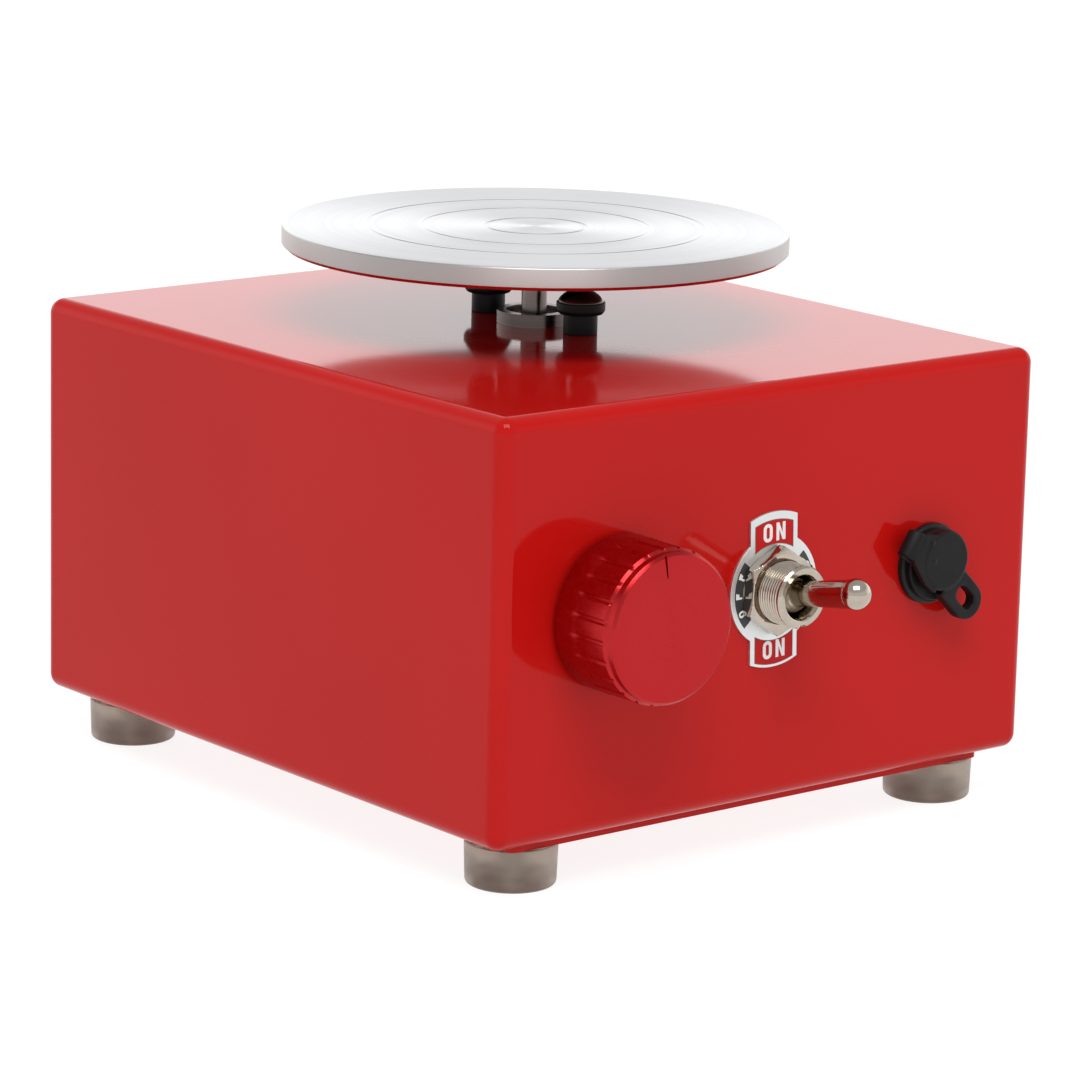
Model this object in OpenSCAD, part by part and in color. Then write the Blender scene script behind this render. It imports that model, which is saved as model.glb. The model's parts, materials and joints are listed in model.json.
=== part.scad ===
// Mini electric pottery wheel with a brushed motor, a speed knob, a reversing
// toggle switch and a capped power socket.
// Millimetres. +Z is up, the control panel faces -Y, and the origin lies on the
// floor under the turntable's spin axis.

/* [Body] */
// Outside width of the body shell
body_w = 133; // [130:1:150]
// Outside depth of the body shell
body_d = 148; // [146:1:165]
// Height of the body shell
body_h = 80.6; // [80:0.2:100]
// Height of the shell's lower edge above the floor
ride_h = 10; // [9:0.5:14]
// Sheet thickness of the shell
wall = 1.5; // [1.2:0.1:2]
// Outside radius of the shell's folded edges
edge_r = 3; // [2.5:0.25:4]
// Width of the return flange round the shell's open underside
flange_w = 15; // [14:0.5:17]
// Thickness of the bottom plate
plate_t = 1.2; // [1:0.1:2]
// Gap between the shell's flange and the bottom plate
plate_gap = 0.5; // [0.4:0.1:1.2]

/* [Feet] */
// Distance from the centre to a foot, left to right
foot_x = 52.9; // [51:0.1:54]
// Distance from the centre to a foot, front to back
foot_y = 61.9; // [61:0.1:64]
// Largest radius of a foot
foot_r = 8.8; // [8:0.1:10]

/* [Turntable] */
// Diameter of the turntable
table_d = 100; // [90:1:120]
// Thickness of the turntable
table_t = 4.4; // [4:0.1:6]
// Height of the turntable's top above the shell's top
table_rise = 19.2; // [18.5:0.1:24]
// Width of a centring ring cut in the turntable's top
ring_w = 0.6; // [0.3:0.1:1]

/* [Motor] */
// Diameter of the motor can
can_d = 42; // [40:0.5:44]
// Length of the motor can
can_len = 60; // [58:1:66]
// Diameter of the motor shaft
shaft_d = 5; // [4:0.5:6]
// Diameter of the boss round the shaft
boss_d = 14.8; // [14:0.1:18]
// Height of the boss above the shell's top
boss_rise = 2.6; // [2:0.1:4]
// Distance between the two motor screws
screw_pitch = 29; // [28:0.5:31]

/* [Controls] */
// Sideways place of the speed knob
knob_x = -39.8; // [-42:0.1:-34]
// Sideways place of the toggle switch
switch_x = -1; // [-2:0.1:4]
// Sideways place of the power socket
jack_x = 39.1; // [36:0.1:44]
// Height of the speed knob's axis
knob_z = 52.3; // [48:0.1:54]
// Height of the toggle switch's axis
switch_z = 51.3; // [48:0.1:54]
// Height of the power socket's axis
jack_z = 51.2; // [48:0.1:54]
// Diameter of the speed knob
knob_d = 29.5; // [26:0.1:32]
// Length of the speed knob
knob_len = 15.8; // [14:0.1:18]
// Number of flutes round the speed knob
flutes = 24; // [12:2:36]
// Upward tilt of the toggle lever at rest
lever_tilt = 11; // [8:0.5:12]

/* [Power socket cap] */
// Direction of the cap's strap, from the right-hand side, anticlockwise
strap_a = 147; // [130:1:160]
// Direction of the cap's pull loop
loop_a = -45; // [-60:1:-30]

/* [Hidden] */
$fn = 96;
eps = 0.01;

// Clearances
run_gap = 0.05;
slip_gap = 0.1;

// Heights of the body's main levels
shell_top = ride_h + body_h;
deck_z = shell_top - wall;
plate_top = ride_h - plate_gap;
foot_h = plate_top - plate_t;
plate_inset_x = 7.2;
plate_inset_y = 4.1;

// Turntable levels
table_top = shell_top + table_rise;
table_under = table_top - table_t;

// M4 and M3 fasteners
m4_r = 2;
m3_r = 1.5;
head_m4_r = 3.8;
head_m3_r = 2.7;

// Motor, measured down from the deck that it hangs under
can_r = can_d / 2;
can_wall = 1.5;
can_low = deck_z - can_len;
boss_top = shell_top + boss_rise;
boss_r = boss_d / 2;
bearing_r = 5.5;
bearing_h = 5;
endbell_h = 9;
endbell_low = can_low - 3;
tail_low = endbell_low - 5;
core_r = 15;
core_low = can_low + 17;
core_high = deck_z - 10;
coil_r = 12.5;
coil_h = 4;
commutator_r = 5;
commutator_low = can_low + 6.5;
commutator_high = core_low - coil_h - 0.5;
terminal_x = 13;

// Turntable hub
hub_flange_r = 13;
hub_flange_t = 2.5;
hub_collar_r = 7;
hub_collar_h = 4.2;
hub_screw_r = 10;
hub_low = table_under - hub_flange_t - hub_collar_h;

// Motor screws and the spacers under their heads
spacer_r = 3.35;
spacer_h = 4;
screw_head_r = 4.8;
screw_head_h = 2.3;
screw_dome_h = 2.7;

// Speed knob and its control, along the axis out of the panel
knob_gap = 1;
knob_bore_from = 6;
knob_face = knob_gap + knob_len;
pot_shaft_r = 3;
pot_bushing_r = 3.5;
pot_case_r = 8.5;
notch_a = 9.5;
flute_a = 4.5;

// Toggle switch, along the axis out of the panel
bushing_r = 6;
bushing_out = 8.75;
bushing_bore = 4.1;
legend_t = 0.5;
legend_turn = 2;
front_nut_turn = 27;
pivot_out = 4.75;
lever_reach = 18.5;
lever_tip_r = 2.95;
yoke_out = -4.5;
case_w = 18;
case_tall = 33;
case_deep = 20;
rocker_out = -18;
rocker_tilt = 6;

// Power socket, along the axis out of the panel
jack_flange_r = 7.9;
jack_flange_t = 1.5;
jack_neck_r = 4.9;
jack_neck_out = 3;
jack_barrel_r = 5.5;
jack_bore_r = 3.2;
jack_pin_r = 1.05;
collar_r = 7;
collar_t = 1.2;
cap_back = 3.4;
cap_face = 5.6;
cap_r = 5.9;
cap_shift = [-0.4, 1.4];
loop_back = 3;
loop_face = 5.2;
loop_shift = [-0.6, -0.6];
strap_w = 5.6;
fold_reach = 11;

// Control board
board_w = 70;
board_d = 30;
board_t = 1.6;
board_y = 41;
board_z = 15;
stand_x = 31.5;
stand_y = 11.5;
plate_screw_h = 2;

// ---- Shared shapes ----

// Rectangle with round corners, centred
module rounded_rect(w, d, r) {
    square([w - 2 * r, d], center = true);
    square([w, d - 2 * r], center = true);
    for (sx = [-1, 1], sy = [-1, 1])
        translate([sx * (w / 2 - r), sy * (d / 2 - r)]) circle(r);
}

// Block with round edges, standing on z = 0
module rounded_block(w, d, h, r) {
    translate([0, 0, h / 2]) intersection() {
        linear_extrude(h, center = true) rounded_rect(w, d, r);
        rotate([90, 0, 0]) linear_extrude(d + 1, center = true) rounded_rect(w, h, r);
        rotate([90, 0, 90]) linear_extrude(w + 1, center = true) rounded_rect(d, h, r);
    }
}

// Upright tube from z = low to z = high
module tube(r, bore, low, high) {
    translate([0, 0, low]) difference() {
        cylinder(r = r, h = high - low);
        translate([0, 0, -1]) cylinder(r = bore, h = high - low + 2);
    }
}

// Upright rod from z = low to z = high
module rod(r, low, high) {
    translate([0, 0, low]) cylinder(r = r, h = high - low);
}

// Box from one corner to the other
module slab(from, to) {
    translate(from) cube(to - from);
}

// Hexagon nut with chamfered corners, from z = low to z = high
module hex_nut(flats, bore, low, high) {
    corner_r = flats / sqrt(3);
    rim_r = flats / 2 * 1.04;
    h = high - low;
    translate([0, 0, low]) difference() {
        intersection() {
            cylinder(r = corner_r, h = h, $fn = 6);
            rotate_extrude() polygon([[0, 0], [rim_r, 0], [corner_r, h * 0.25],
                [corner_r, h * 0.75], [rim_r, h], [0, h]]);
        }
        translate([0, 0, -1]) cylinder(r = bore, h = h + 2);
    }
}

// Screw with a pan head under z = 0 and a plain shank above it
module pan_screw(head_r, head_h, shank_r, shank_h) {
    difference() {
        rotate_extrude() polygon([[0, -head_h], [head_r - 0.8, -head_h],
            [head_r, -head_h + 0.8], [head_r, 0], [shank_r, 0], [shank_r, shank_h],
            [0, shank_h]]);
        for (a = [0, 90]) rotate([0, 0, a])
            translate([-head_r * 0.5, -0.4, -head_h - eps]) cube([head_r, 0.8, 1 + eps]);
    }
}

// Places children on the front panel: x right, y up, z outwards
module on_panel(x, z) {
    translate([x, -body_d / 2, z]) rotate([90, 0, 0]) children();
}

module at_feet() {
    for (sx = [-1, 1], sy = [-1, 1]) translate([sx * foot_x, sy * foot_y, 0]) children();
}

module at_standoffs() {
    for (sx = [-1, 1], sy = [-1, 1])
        translate([sx * stand_x, board_y + sy * stand_y, 0]) children();
}

// ---- Wires ----

function unit(v) = v / norm(v);

// Point at t from 0 to 1 on the smooth curve between points b and c
function curve_point(a, b, c, d, t) = 0.5 * (2 * b + (c - a) * t
    + (2 * a - 5 * b + 4 * c - d) * t * t + (3 * b - a - 3 * c + d) * t * t * t);

// Smooth route through the points, with the ends kept
function route(p, steps) = let (n = len(p)) concat(
    [for (i = [0 : n - 2], s = [0 : steps - 1]) curve_point(
        i == 0 ? 2 * p[0] - p[1] : p[i - 1], p[i], p[i + 1],
        i == n - 2 ? 2 * p[n - 1] - p[n - 2] : p[i + 2], s / steps)],
    [p[n - 1]]);

function heading(p, i) = unit(p[min(i + 1, len(p) - 1)] - p[max(i - 1, 0)]);

// Side vectors carried along the route without twisting
function sides(p, i, last) = i == len(p) ? [] :
    let (h = heading(p, i), s = unit(last - (last * h) * h))
    concat([s], sides(p, i + 1, s));

// Round wire of radius r along the hand-placed points
module wire(points, r, steps = 4, n = 8) {
    p = route(points, steps);
    h0 = heading(p, 0);
    first = abs(h0.x) < 0.7 ? [1, 0, 0] : [0, 1, 0];
    s = sides(p, 0, first);
    count = len(p);
    rings = [for (i = [0 : count - 1], k = [0 : n - 1])
        let (a = k * 360 / n, up = cross(heading(p, i), s[i]))
        p[i] + r * cos(a) * s[i] + r * sin(a) * up];
    walls = [for (i = [0 : count - 2], k = [0 : n - 1])
        let (j = (k + 1) % n) [i * n + j, i * n + k, (i + 1) * n + k, (i + 1) * n + j]];
    polyhedron(rings, concat([[for (k = [0 : n - 1]) k]], walls,
        [[for (k = [n - 1 : -1 : 0]) (count - 1) * n + k]]));
}

// ---- Body ----

module body_shell() {
    color("firebrick") difference() {
        translate([0, 0, ride_h]) rounded_block(body_w, body_d, body_h, edge_r);
        translate([0, 0, ride_h + wall]) rounded_block(body_w - 2 * wall,
            body_d - 2 * wall, body_h - 2 * wall, edge_r - wall);
        translate([0, 0, ride_h - 1]) linear_extrude(wall + 2) rounded_rect(
            body_w - 2 * (wall + flange_w), body_d - 2 * (wall + flange_w), edge_r);
        rod(boss_r + slip_gap, deck_z - 1, shell_top + 1);
        for (sy = [-1, 1]) translate([0, sy * screw_pitch / 2, 0])
            rod(m4_r + slip_gap, deck_z - 1, shell_top + 1);
        at_feet() rod(3 + run_gap, ride_h - 1, ride_h + wall + 1);
        on_panel(knob_x, knob_z) rod(pot_bushing_r + slip_gap, -wall - 1, 1);
        on_panel(switch_x, switch_z) rod(bushing_r + slip_gap, -wall - 1, 1);
        on_panel(jack_x, jack_z) rod(jack_barrel_r + slip_gap, -wall - 1, 1);
    }
}

module bottom_plate() {
    plate_w = body_w - 2 * plate_inset_x;
    plate_d = body_d - 2 * plate_inset_y;
    color("firebrick") difference() {
        translate([0, 0, foot_h]) linear_extrude(plate_t) rounded_rect(plate_w, plate_d, 2);
        at_feet() rod(m4_r + slip_gap, foot_h - 1, plate_top + 1);
        at_standoffs() rod(m3_r + slip_gap, foot_h - 1, plate_top + 1);
    }
}

// Blind nuts pressed into the flange, whose heads hold the plate off the shell
module rivet_nuts() {
    color("silver") at_feet() translate([0, 0, plate_top]) rotate_extrude()
        polygon([[m4_r + run_gap, 0], [4.5, 0], [4.5, plate_gap], [3, plate_gap],
            [3, plate_gap + wall], [3.8, plate_gap + wall], [3.8, plate_gap + wall + 2],
            [3, plate_gap + wall + 3], [3, 8], [m4_r + run_gap, 8]]);
}

// ---- Feet ----

// Soft round foot with a recess for its screw
module foot(sx, sy) {
    low_r = foot_r - 0.25;
    edge = 0.8;
    recess_r = 4.6;
    recess_h = 3.5;
    color([0.50, 0.45, 0.42]) translate([sx * foot_x, sy * foot_y, 0]) rotate_extrude() difference() {
        union() {
            polygon([[0, 0], [low_r - edge, 0], [low_r - edge, edge], [low_r, edge],
                [foot_r, foot_h], [0, foot_h]]);
            translate([low_r - edge, edge]) intersection() {
                circle(edge);
                translate([0, -edge]) square(edge);
            }
        }
        translate([-1, -1]) square([m4_r + slip_gap + 1, foot_h + 2]);
        translate([-1, -1]) square([recess_r + 1, recess_h + 1]);
    }
}

module foot_front_left() { foot(-1, -1); }
module foot_front_right() { foot(1, -1); }
module foot_rear_left() { foot(-1, 1); }
module foot_rear_right() { foot(1, 1); }

module foot_screws() {
    color("silver") at_feet() translate([0, 0, 2.7])
        pan_screw(head_m4_r, 2.1, m4_r, 12);
}

module foot_washers() {
    color("silver") at_feet() tube(4.4, m4_r + slip_gap, 2.7, 3.5);
}

// ---- Motor, fixed parts ----

module motor_can() {
    front_t = 2;
    color("gray") difference() {
        union() {
            rod(can_r, can_low, deck_z);
            rod(boss_r, deck_z - 1, boss_top);
        }
        rod(can_r - can_wall, can_low - 1, deck_z - front_t);
        rod(shaft_d / 2 + 1, deck_z - front_t - 1, boss_top + 1);
        rod(bearing_r + 0.02, boss_top - 1.5 - bearing_h, boss_top + 1);
        for (sy = [-1, 1]) translate([0, sy * screw_pitch / 2, 0])
            rod(m4_r + run_gap, deck_z - front_t - 1, deck_z + 1);
    }
}

module flux_ring() {
    color("dimgray") tube(can_r + 1.2, can_r + 0.02, can_low + 8, deck_z - 8);
}

module motor_magnets() {
    outer = can_r - can_wall - 0.02;
    color([0.25, 0.25, 0.27]) intersection() {
        tube(outer, core_r + 0.5, core_low - 2, core_high + 2);
        for (sx = [-1, 1]) translate([sx * outer, 0, (core_low + core_high) / 2])
            cube([1.1 * outer, 1.5 * outer, core_high - core_low + 4], center = true);
    }
}

module motor_endbell() {
    inner = can_r - can_wall - 0.05;
    color([0.1, 0.1, 0.1]) difference() {
        union() {
            rod(inner, can_low, can_low + endbell_h - 4);
            rod(can_r, endbell_low, can_low);
            rod(bearing_r + 2, tail_low, can_low);
        }
        rod(shaft_d / 2 + 1, tail_low - 1, can_low + endbell_h);
        rod(bearing_r + 0.02, tail_low + 1, tail_low + 1 + bearing_h);
        rod(commutator_r + 1, can_low - 1, can_low + endbell_h);
        for (sx = [-1, 1]) slab([sx * terminal_x - 0.4, -3, endbell_low - 1],
            [sx * terminal_x + 0.4, 3, can_low + endbell_h]);
    }
}

module motor_bearings() {
    color("silver") {
        tube(bearing_r, shaft_d / 2 + run_gap, boss_top - 1.5 - bearing_h, boss_top - 1.5);
        tube(bearing_r, shaft_d / 2 + run_gap, tail_low + 1, tail_low + 1 + bearing_h);
    }
}

// Carbon blocks that press on the commutator from both sides
module motor_brushes() {
    low = commutator_low + 0.5;
    color([0.2, 0.2, 0.2]) difference() {
        for (sx = [-1, 1]) slab([min(sx * 4, sx * (terminal_x - 0.4)), -2, low],
            [max(sx * 4, sx * (terminal_x - 0.4)), 2, low + 5]);
        rod(commutator_r + slip_gap, low - 1, low + 6);
    }
}

module motor_terminals() {
    color("goldenrod") for (sx = [-1, 1])
        slab([sx * terminal_x - 0.4, -3, endbell_low - 5],
            [sx * terminal_x + 0.4, 3, commutator_low + 5.5]);
}

// ---- Motor, turning parts ----

module motor_shaft() {
    color("silver") difference() {
        rod(shaft_d / 2, tail_low + 1.3, table_under - 0.1);
        translate([shaft_d / 2 - 0.5, -3, hub_low - 0.1]) cube([2, 6, table_under - hub_low + 1]);
    }
}

// Stack of laminations with five slots
module rotor_core() {
    slots = 5;
    slot_r = 3.4;
    color("slategray") translate([0, 0, core_low]) linear_extrude(core_high - core_low) difference() {
        circle(core_r);
        circle(shaft_d / 2 + 0.02);
        for (i = [0 : slots - 1]) rotate(i * 360 / slots) {
            translate([core_r - 5, 0]) circle(slot_r);
            translate([core_r - 5, -0.9]) square([6, 1.8]);
        }
    }
}

module rotor_windings() {
    slots = 5;
    color("peru") {
        for (low = [core_low - coil_h, core_high]) tube(coil_r, shaft_d / 2 + 1, low, low + coil_h);
        for (i = [0 : slots - 1]) rotate([0, 0, i * 360 / slots]) translate([core_r - 5, 0, 0])
            rod(2.3, core_low - 1, core_high + 1);
    }
}

module commutator() {
    color("peru") difference() {
        tube(commutator_r, shaft_d / 2 + 0.02, commutator_low, commutator_high);
        for (i = [0 : 4]) rotate([0, 0, i * 72 + 36])
            translate([shaft_d / 2 + 1.2, -0.25, commutator_low - 1])
                cube([4, 0.5, commutator_high - commutator_low + 2]);
    }
}

// ---- Turntable ----

module turntable_disc() {
    r = table_d / 2;
    low_edge = 1;
    top_edge = 0.3;
    hole_depth = 3;
    color("lightgray") difference() {
        translate([0, 0, table_under]) rotate_extrude() difference() {
            polygon([[0, 0], [r - low_edge, 0], [r, low_edge], [r, table_t - top_edge],
                [r - top_edge, table_t], [0, table_t]]);
            for (groove_r = [10, 22.5, 33.5])
                translate([groove_r - ring_w / 2, table_t - 0.3]) square([ring_w, 1]);
        }
        for (a = [45 : 90 : 315]) rotate([0, 0, a]) translate([hub_screw_r, 0, 0])
            rod(m3_r + run_gap, table_under - 1, table_under + hole_depth);
    }
}

module flange_hub() {
    set_z = hub_low + 2.1;
    color("silver") difference() {
        union() {
            rod(hub_flange_r, table_under - hub_flange_t, table_under);
            rod(hub_collar_r, hub_low, table_under);
        }
        rod(shaft_d / 2 + 0.02, hub_low - 1, table_under + 1);
        for (a = [45 : 90 : 315]) rotate([0, 0, a]) translate([hub_screw_r, 0, 0])
            rod(m3_r + slip_gap, table_under - hub_flange_t - 1, table_under + 1);
        translate([0, 0, set_z]) rotate([0, 90, 0]) cylinder(r = m3_r + run_gap, h = 20);
    }
}

module hub_screws() {
    color("dimgray") for (a = [45 : 90 : 315]) rotate([0, 0, a])
        translate([hub_screw_r, 0, table_under - hub_flange_t])
            pan_screw(head_m3_r, 1.6, m3_r, hub_flange_t + 2.6);
}

// Grub screw that grips the flat on the motor shaft
module hub_set_screw() {
    flat_x = shaft_d / 2 - 0.5;
    color("dimgray") translate([0, 0, hub_low + 2.1]) rotate([0, 90, 0]) difference() {
        rod(m3_r, flat_x, hub_collar_r - 0.4);
        translate([0, 0, hub_collar_r - 1.9]) cylinder(r = 0.85, h = 3, $fn = 6);
    }
}

// ---- Motor fixings on top ----

module motor_screws() {
    base = shell_top + spacer_h;
    dome_r = screw_head_r - 0.25;
    ball_r = (dome_r * dome_r + screw_dome_h * screw_dome_h) / (2 * screw_dome_h);
    color([0.12, 0.12, 0.12]) for (sy = [-1, 1]) translate([0, sy * screw_pitch / 2, 0]) difference() {
        union() {
            translate([0, 0, base]) rotate_extrude() polygon([[0, 0], [screw_head_r - 0.5, 0],
                [screw_head_r, 0.6], [screw_head_r, screw_head_h], [0, screw_head_h]]);
            rod(m4_r, deck_z - 2, base + 1);
            translate([0, 0, base + screw_head_h]) intersection() {
                translate([0, 0, screw_dome_h - ball_r]) sphere(ball_r);
                cylinder(r = dome_r, h = screw_dome_h + 1);
            }
        }
        translate([0, 0, base + screw_head_h + 0.7]) cylinder(r = 1.45, h = 4, $fn = 6);
    }
}

module motor_spacers() {
    color([0.08, 0.08, 0.08]) for (sy = [-1, 1]) translate([0, sy * screw_pitch / 2, 0])
        tube(spacer_r, m4_r + slip_gap, shell_top, shell_top + spacer_h);
}

// ---- Speed knob and its control ----

module speed_knob() {
    r = knob_d / 2;
    skirt = knob_gap + 5.2;
    shoulder = knob_face - 1.9;
    face_r = r - 0.6;
    notch_len = 4.4;
    color([0.62, 0.07, 0.07]) on_panel(knob_x, knob_z) difference() {
        rotate_extrude() polygon([[0, knob_gap], [r - 0.4, knob_gap], [r, knob_gap + 0.4],
            [r, shoulder - 0.6], [face_r, shoulder], [face_r, knob_face - 0.55],
            [face_r - 0.55, knob_face], [0, knob_face]]);
        for (i = [0 : flutes - 1]) rotate([0, 0, flute_a + i * 360 / flutes])
            translate([r + 0.15, 0, 0]) rod(0.55, skirt, shoulder + 1);
        rod(8, knob_gap - 1, knob_bore_from);
        rod(pot_shaft_r + run_gap, knob_bore_from - 1, knob_face - 3);
        translate([0, 0, 9]) rotate([0, 90, 0]) cylinder(r = m3_r + run_gap, h = 20);
        rotate([0, 0, notch_a]) slab([-0.35, face_r - notch_len, knob_face - 0.5],
            [0.35, r + 1, knob_face + 1]);
    }
}

module knob_set_screw() {
    color("dimgray") on_panel(knob_x, knob_z) translate([0, 0, 9]) rotate([0, 90, 0]) difference() {
        rod(m3_r, pot_shaft_r - 0.5, 8.5);
        translate([0, 0, 7]) cylinder(r = 0.85, h = 3, $fn = 6);
    }
}

module pot_case() {
    color("silver") on_panel(knob_x, knob_z) difference() {
        rod(pot_case_r, -11.5, -3.9);
        rod(pot_case_r - 0.4, -11.1, -3);
    }
}

// Resistance track on its board, with a tail that carries the three lugs
module pot_track() {
    color("saddlebrown") on_panel(knob_x, knob_z) difference() {
        union() {
            rod(pot_case_r, -3.9, -2.7);
            slab([-7, -12, -3.9], [7, -4, -2.7]);
        }
        rod(pot_shaft_r + 0.4, -5, -2);
    }
}

module pot_bushing() {
    color("silver") on_panel(knob_x, knob_z) difference() {
        union() {
            rod(pot_case_r, -2.7, -wall);
            rod(pot_bushing_r, -wall, 5.5);
        }
        rod(pot_shaft_r + run_gap, -4, 6.5);
    }
}

module pot_washer() {
    color("silver") on_panel(knob_x, knob_z) tube(6, pot_bushing_r + slip_gap, 0, 0.5);
}

module pot_nut() {
    color("silver") on_panel(knob_x, knob_z) hex_nut(10, pot_bushing_r + run_gap, 0.5, 2.5);
}

// Turned shaft with a flat for the set screw, and the wiper disc on its end
module pot_shaft() {
    color("gainsboro") on_panel(knob_x, knob_z) difference() {
        union() {
            rod(pot_shaft_r, -8, 12.5);
            rod(6.5, -5.6, -4.8);
        }
        slab([pot_shaft_r - 0.5, -4, 6.5], [pot_shaft_r + 2, 4, 14]);
    }
}

module pot_terminals() {
    color("silver") on_panel(knob_x, knob_z) for (x = [-5, 0, 5])
        slab([x - 0.8, -17, -4.3], [x + 0.8, -9.2, -3.9]);
}

// ---- Toggle switch ----

module legend_plate() {
    ring_r = 10.8;
    tab_r = 15.05;
    tab_w = 11.7;
    color("gainsboro") on_panel(switch_x, switch_z) rotate([0, 0, legend_turn])
        linear_extrude(legend_t) difference() {
        union() {
            circle(ring_r);
            intersection() {
                circle(tab_r);
                square([tab_w, 2 * tab_r + 2], center = true);
            }
        }
        circle(bushing_r + slip_gap);
    }
}

// Threaded bushing on the metal frame that closes the front of the case
module switch_bushing() {
    key_w = 1.6;
    color("silver") on_panel(switch_x, switch_z) difference() {
        union() {
            rod(bushing_r, yoke_out - 0.5, bushing_out);
            slab([-case_w / 2, -case_tall / 2, yoke_out - 1], [case_w / 2, case_tall / 2, yoke_out]);
        }
        rod(bushing_bore, yoke_out - 2, bushing_out + 1);
        slab([-key_w / 2, -bushing_r - 1, yoke_out + 1], [key_w / 2, -bushing_r + 0.8, bushing_out + 1]);
        translate([0, 0, pivot_out]) rotate([0, 90, 0])
            cylinder(r = 0.8 + run_gap, h = 11, center = true);
    }
}

module switch_back_nut() {
    color("silver") on_panel(switch_x, switch_z)
        hex_nut(14, bushing_r + run_gap, -wall - 2, -wall);
}

module switch_front_nut() {
    color("silver") on_panel(switch_x, switch_z) rotate([0, 0, front_nut_turn])
        hex_nut(15, bushing_r + run_gap, legend_t, legend_t + 2.7);
}

module switch_case() {
    front = yoke_out - 1;
    color([0.16, 0.09, 0.06]) on_panel(switch_x, switch_z) difference() {
        slab([-case_w / 2, -case_tall / 2, front - case_deep], [case_w / 2, case_tall / 2, front]);
        slab([-case_w / 2 + 1.5, -case_tall / 2 + 1.5, front - case_deep + 1.5],
            [case_w / 2 - 1.5, case_tall / 2 - 1.5, front + 1]);
        translate([0, 0, rocker_out]) rotate([0, 90, 0])
            cylinder(r = 0.8 + run_gap, h = case_w - 1, center = true);
        for (x = [-4.5, 4.5], y = [-11, 0, 11])
            slab([x - 0.4, y - 2, front - case_deep - 1], [x + 0.4, y + 2, front - case_deep + 2]);
    }
}

// Bat lever with its pivot ball, cross pin and inner arm
module toggle_lever() {
    arm = 14.75;
    color("silver") on_panel(switch_x, switch_z) translate([0, 0, pivot_out]) rotate([-lever_tilt, 0, 0]) {
        rotate_extrude() polygon([[0, 0], [2, 0], [2, 5], [2.2, 7],
            [2.75, lever_reach - 1], [0, lever_reach]]);
        translate([0, 0, lever_reach]) sphere(lever_tip_r);
        sphere(3.75);
        rod(1.4, -arm, 0);
        rotate([0, 90, 0]) cylinder(r = 0.8, h = 10.6, center = true);
    }
}

// Contact rocker on its pin, tipped the opposite way to the lever
module switch_rocker() {
    color("goldenrod") on_panel(switch_x, switch_z) translate([0, 0, rocker_out])
        rotate([rocker_tilt, 0, 0]) {
        difference() {
            slab([-6.5, -11, -0.8], [6.5, 11, 0.8]);
            slab([-3.2, -9, -2], [3.2, -2.5, 2]);
            slab([-3.2, 2.5, -2], [3.2, 9, 2]);
        }
        rotate([0, 90, 0]) cylinder(r = 0.8, h = case_w - 1.4, center = true);
    }
}

module switch_terminals() {
    rear = yoke_out - 1 - case_deep;
    color("silver") on_panel(switch_x, switch_z) for (x = [-4.5, 4.5], y = [-11, 0, 11]) difference() {
        union() {
            slab([x - 0.4, y - 2, rear - 7], [x + 0.4, y + 2, rear + 1.5]);
            slab([x - 1.5, y - 2, rear + 1.5], [x + 1.5, y + 2, rear + 2.1]);
        }
        translate([x, y, rear - 4.5]) rotate([0, 90, 0]) cylinder(r = 0.9, h = 3, center = true);
    }
}

// ---- Power socket ----

module jack_body() {
    color([0.06, 0.06, 0.06]) on_panel(jack_x, jack_z) difference() {
        union() {
            rotate_extrude() polygon([[0, 0], [jack_flange_r, 0], [jack_flange_r, jack_flange_t - 0.5],
                [jack_flange_r - 0.5, jack_flange_t], [0, jack_flange_t]]);
            rod(jack_neck_r, jack_flange_t - eps, jack_neck_out);
            rod(jack_barrel_r, -13.5, eps);
        }
        rod(jack_bore_r, -9.5, jack_neck_out + 1);
    }
}

module jack_nut() {
    color("silver") on_panel(jack_x, jack_z)
        hex_nut(14, jack_barrel_r + run_gap, -wall - 2.5, -wall);
}

module jack_pin() {
    color("gold") on_panel(jack_x, jack_z) {
        rod(jack_pin_r, -9.5, 2.2);
        translate([0, 0, 2.2]) sphere(jack_pin_r);
    }
}

module jack_terminals() {
    color("silver") on_panel(jack_x, jack_z) for (y = [-3, 3]) difference() {
        slab([-1.5, y - 0.25, -19], [1.5, y + 0.25, -13.5]);
        translate([0, y, -17]) rotate([90, 0, 0]) cylinder(r = 0.7, h = 2, center = true);
    }
}

// Half of the strap's fold, in the plane along the strap, swept across it
module strap_fold(from_high) {
    mid = (jack_flange_t + cap_face) / 2;
    bend_r = (cap_face - jack_flange_t) / 2;
    translate([fold_reach - bend_r, 0, mid]) rotate([90, 0, 0])
        linear_extrude(strap_w, center = true) intersection() {
            difference() {
                circle(bend_r);
                circle(bend_r - collar_t);
            }
            translate([0, from_high ? 0.1 : -bend_r - 1]) square([bend_r + 1, bend_r + 0.9]);
        }
}

// Rubber collar round the socket's neck, with the strap's lower half
module cap_strap() {
    bend_r = (cap_face - jack_flange_t) / 2;
    color([0.09, 0.09, 0.09]) on_panel(jack_x, jack_z) {
        difference() {
            union() {
                rod(collar_r, jack_flange_t, jack_flange_t + collar_t);
                rotate([0, 0, strap_a]) slab([0, -strap_w / 2, jack_flange_t],
                    [fold_reach - bend_r, strap_w / 2, jack_flange_t + collar_t]);
            }
            rod(jack_neck_r + slip_gap, 0, jack_neck_out + 1);
        }
        rotate([0, 0, strap_a]) strap_fold(false);
    }
}

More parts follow.
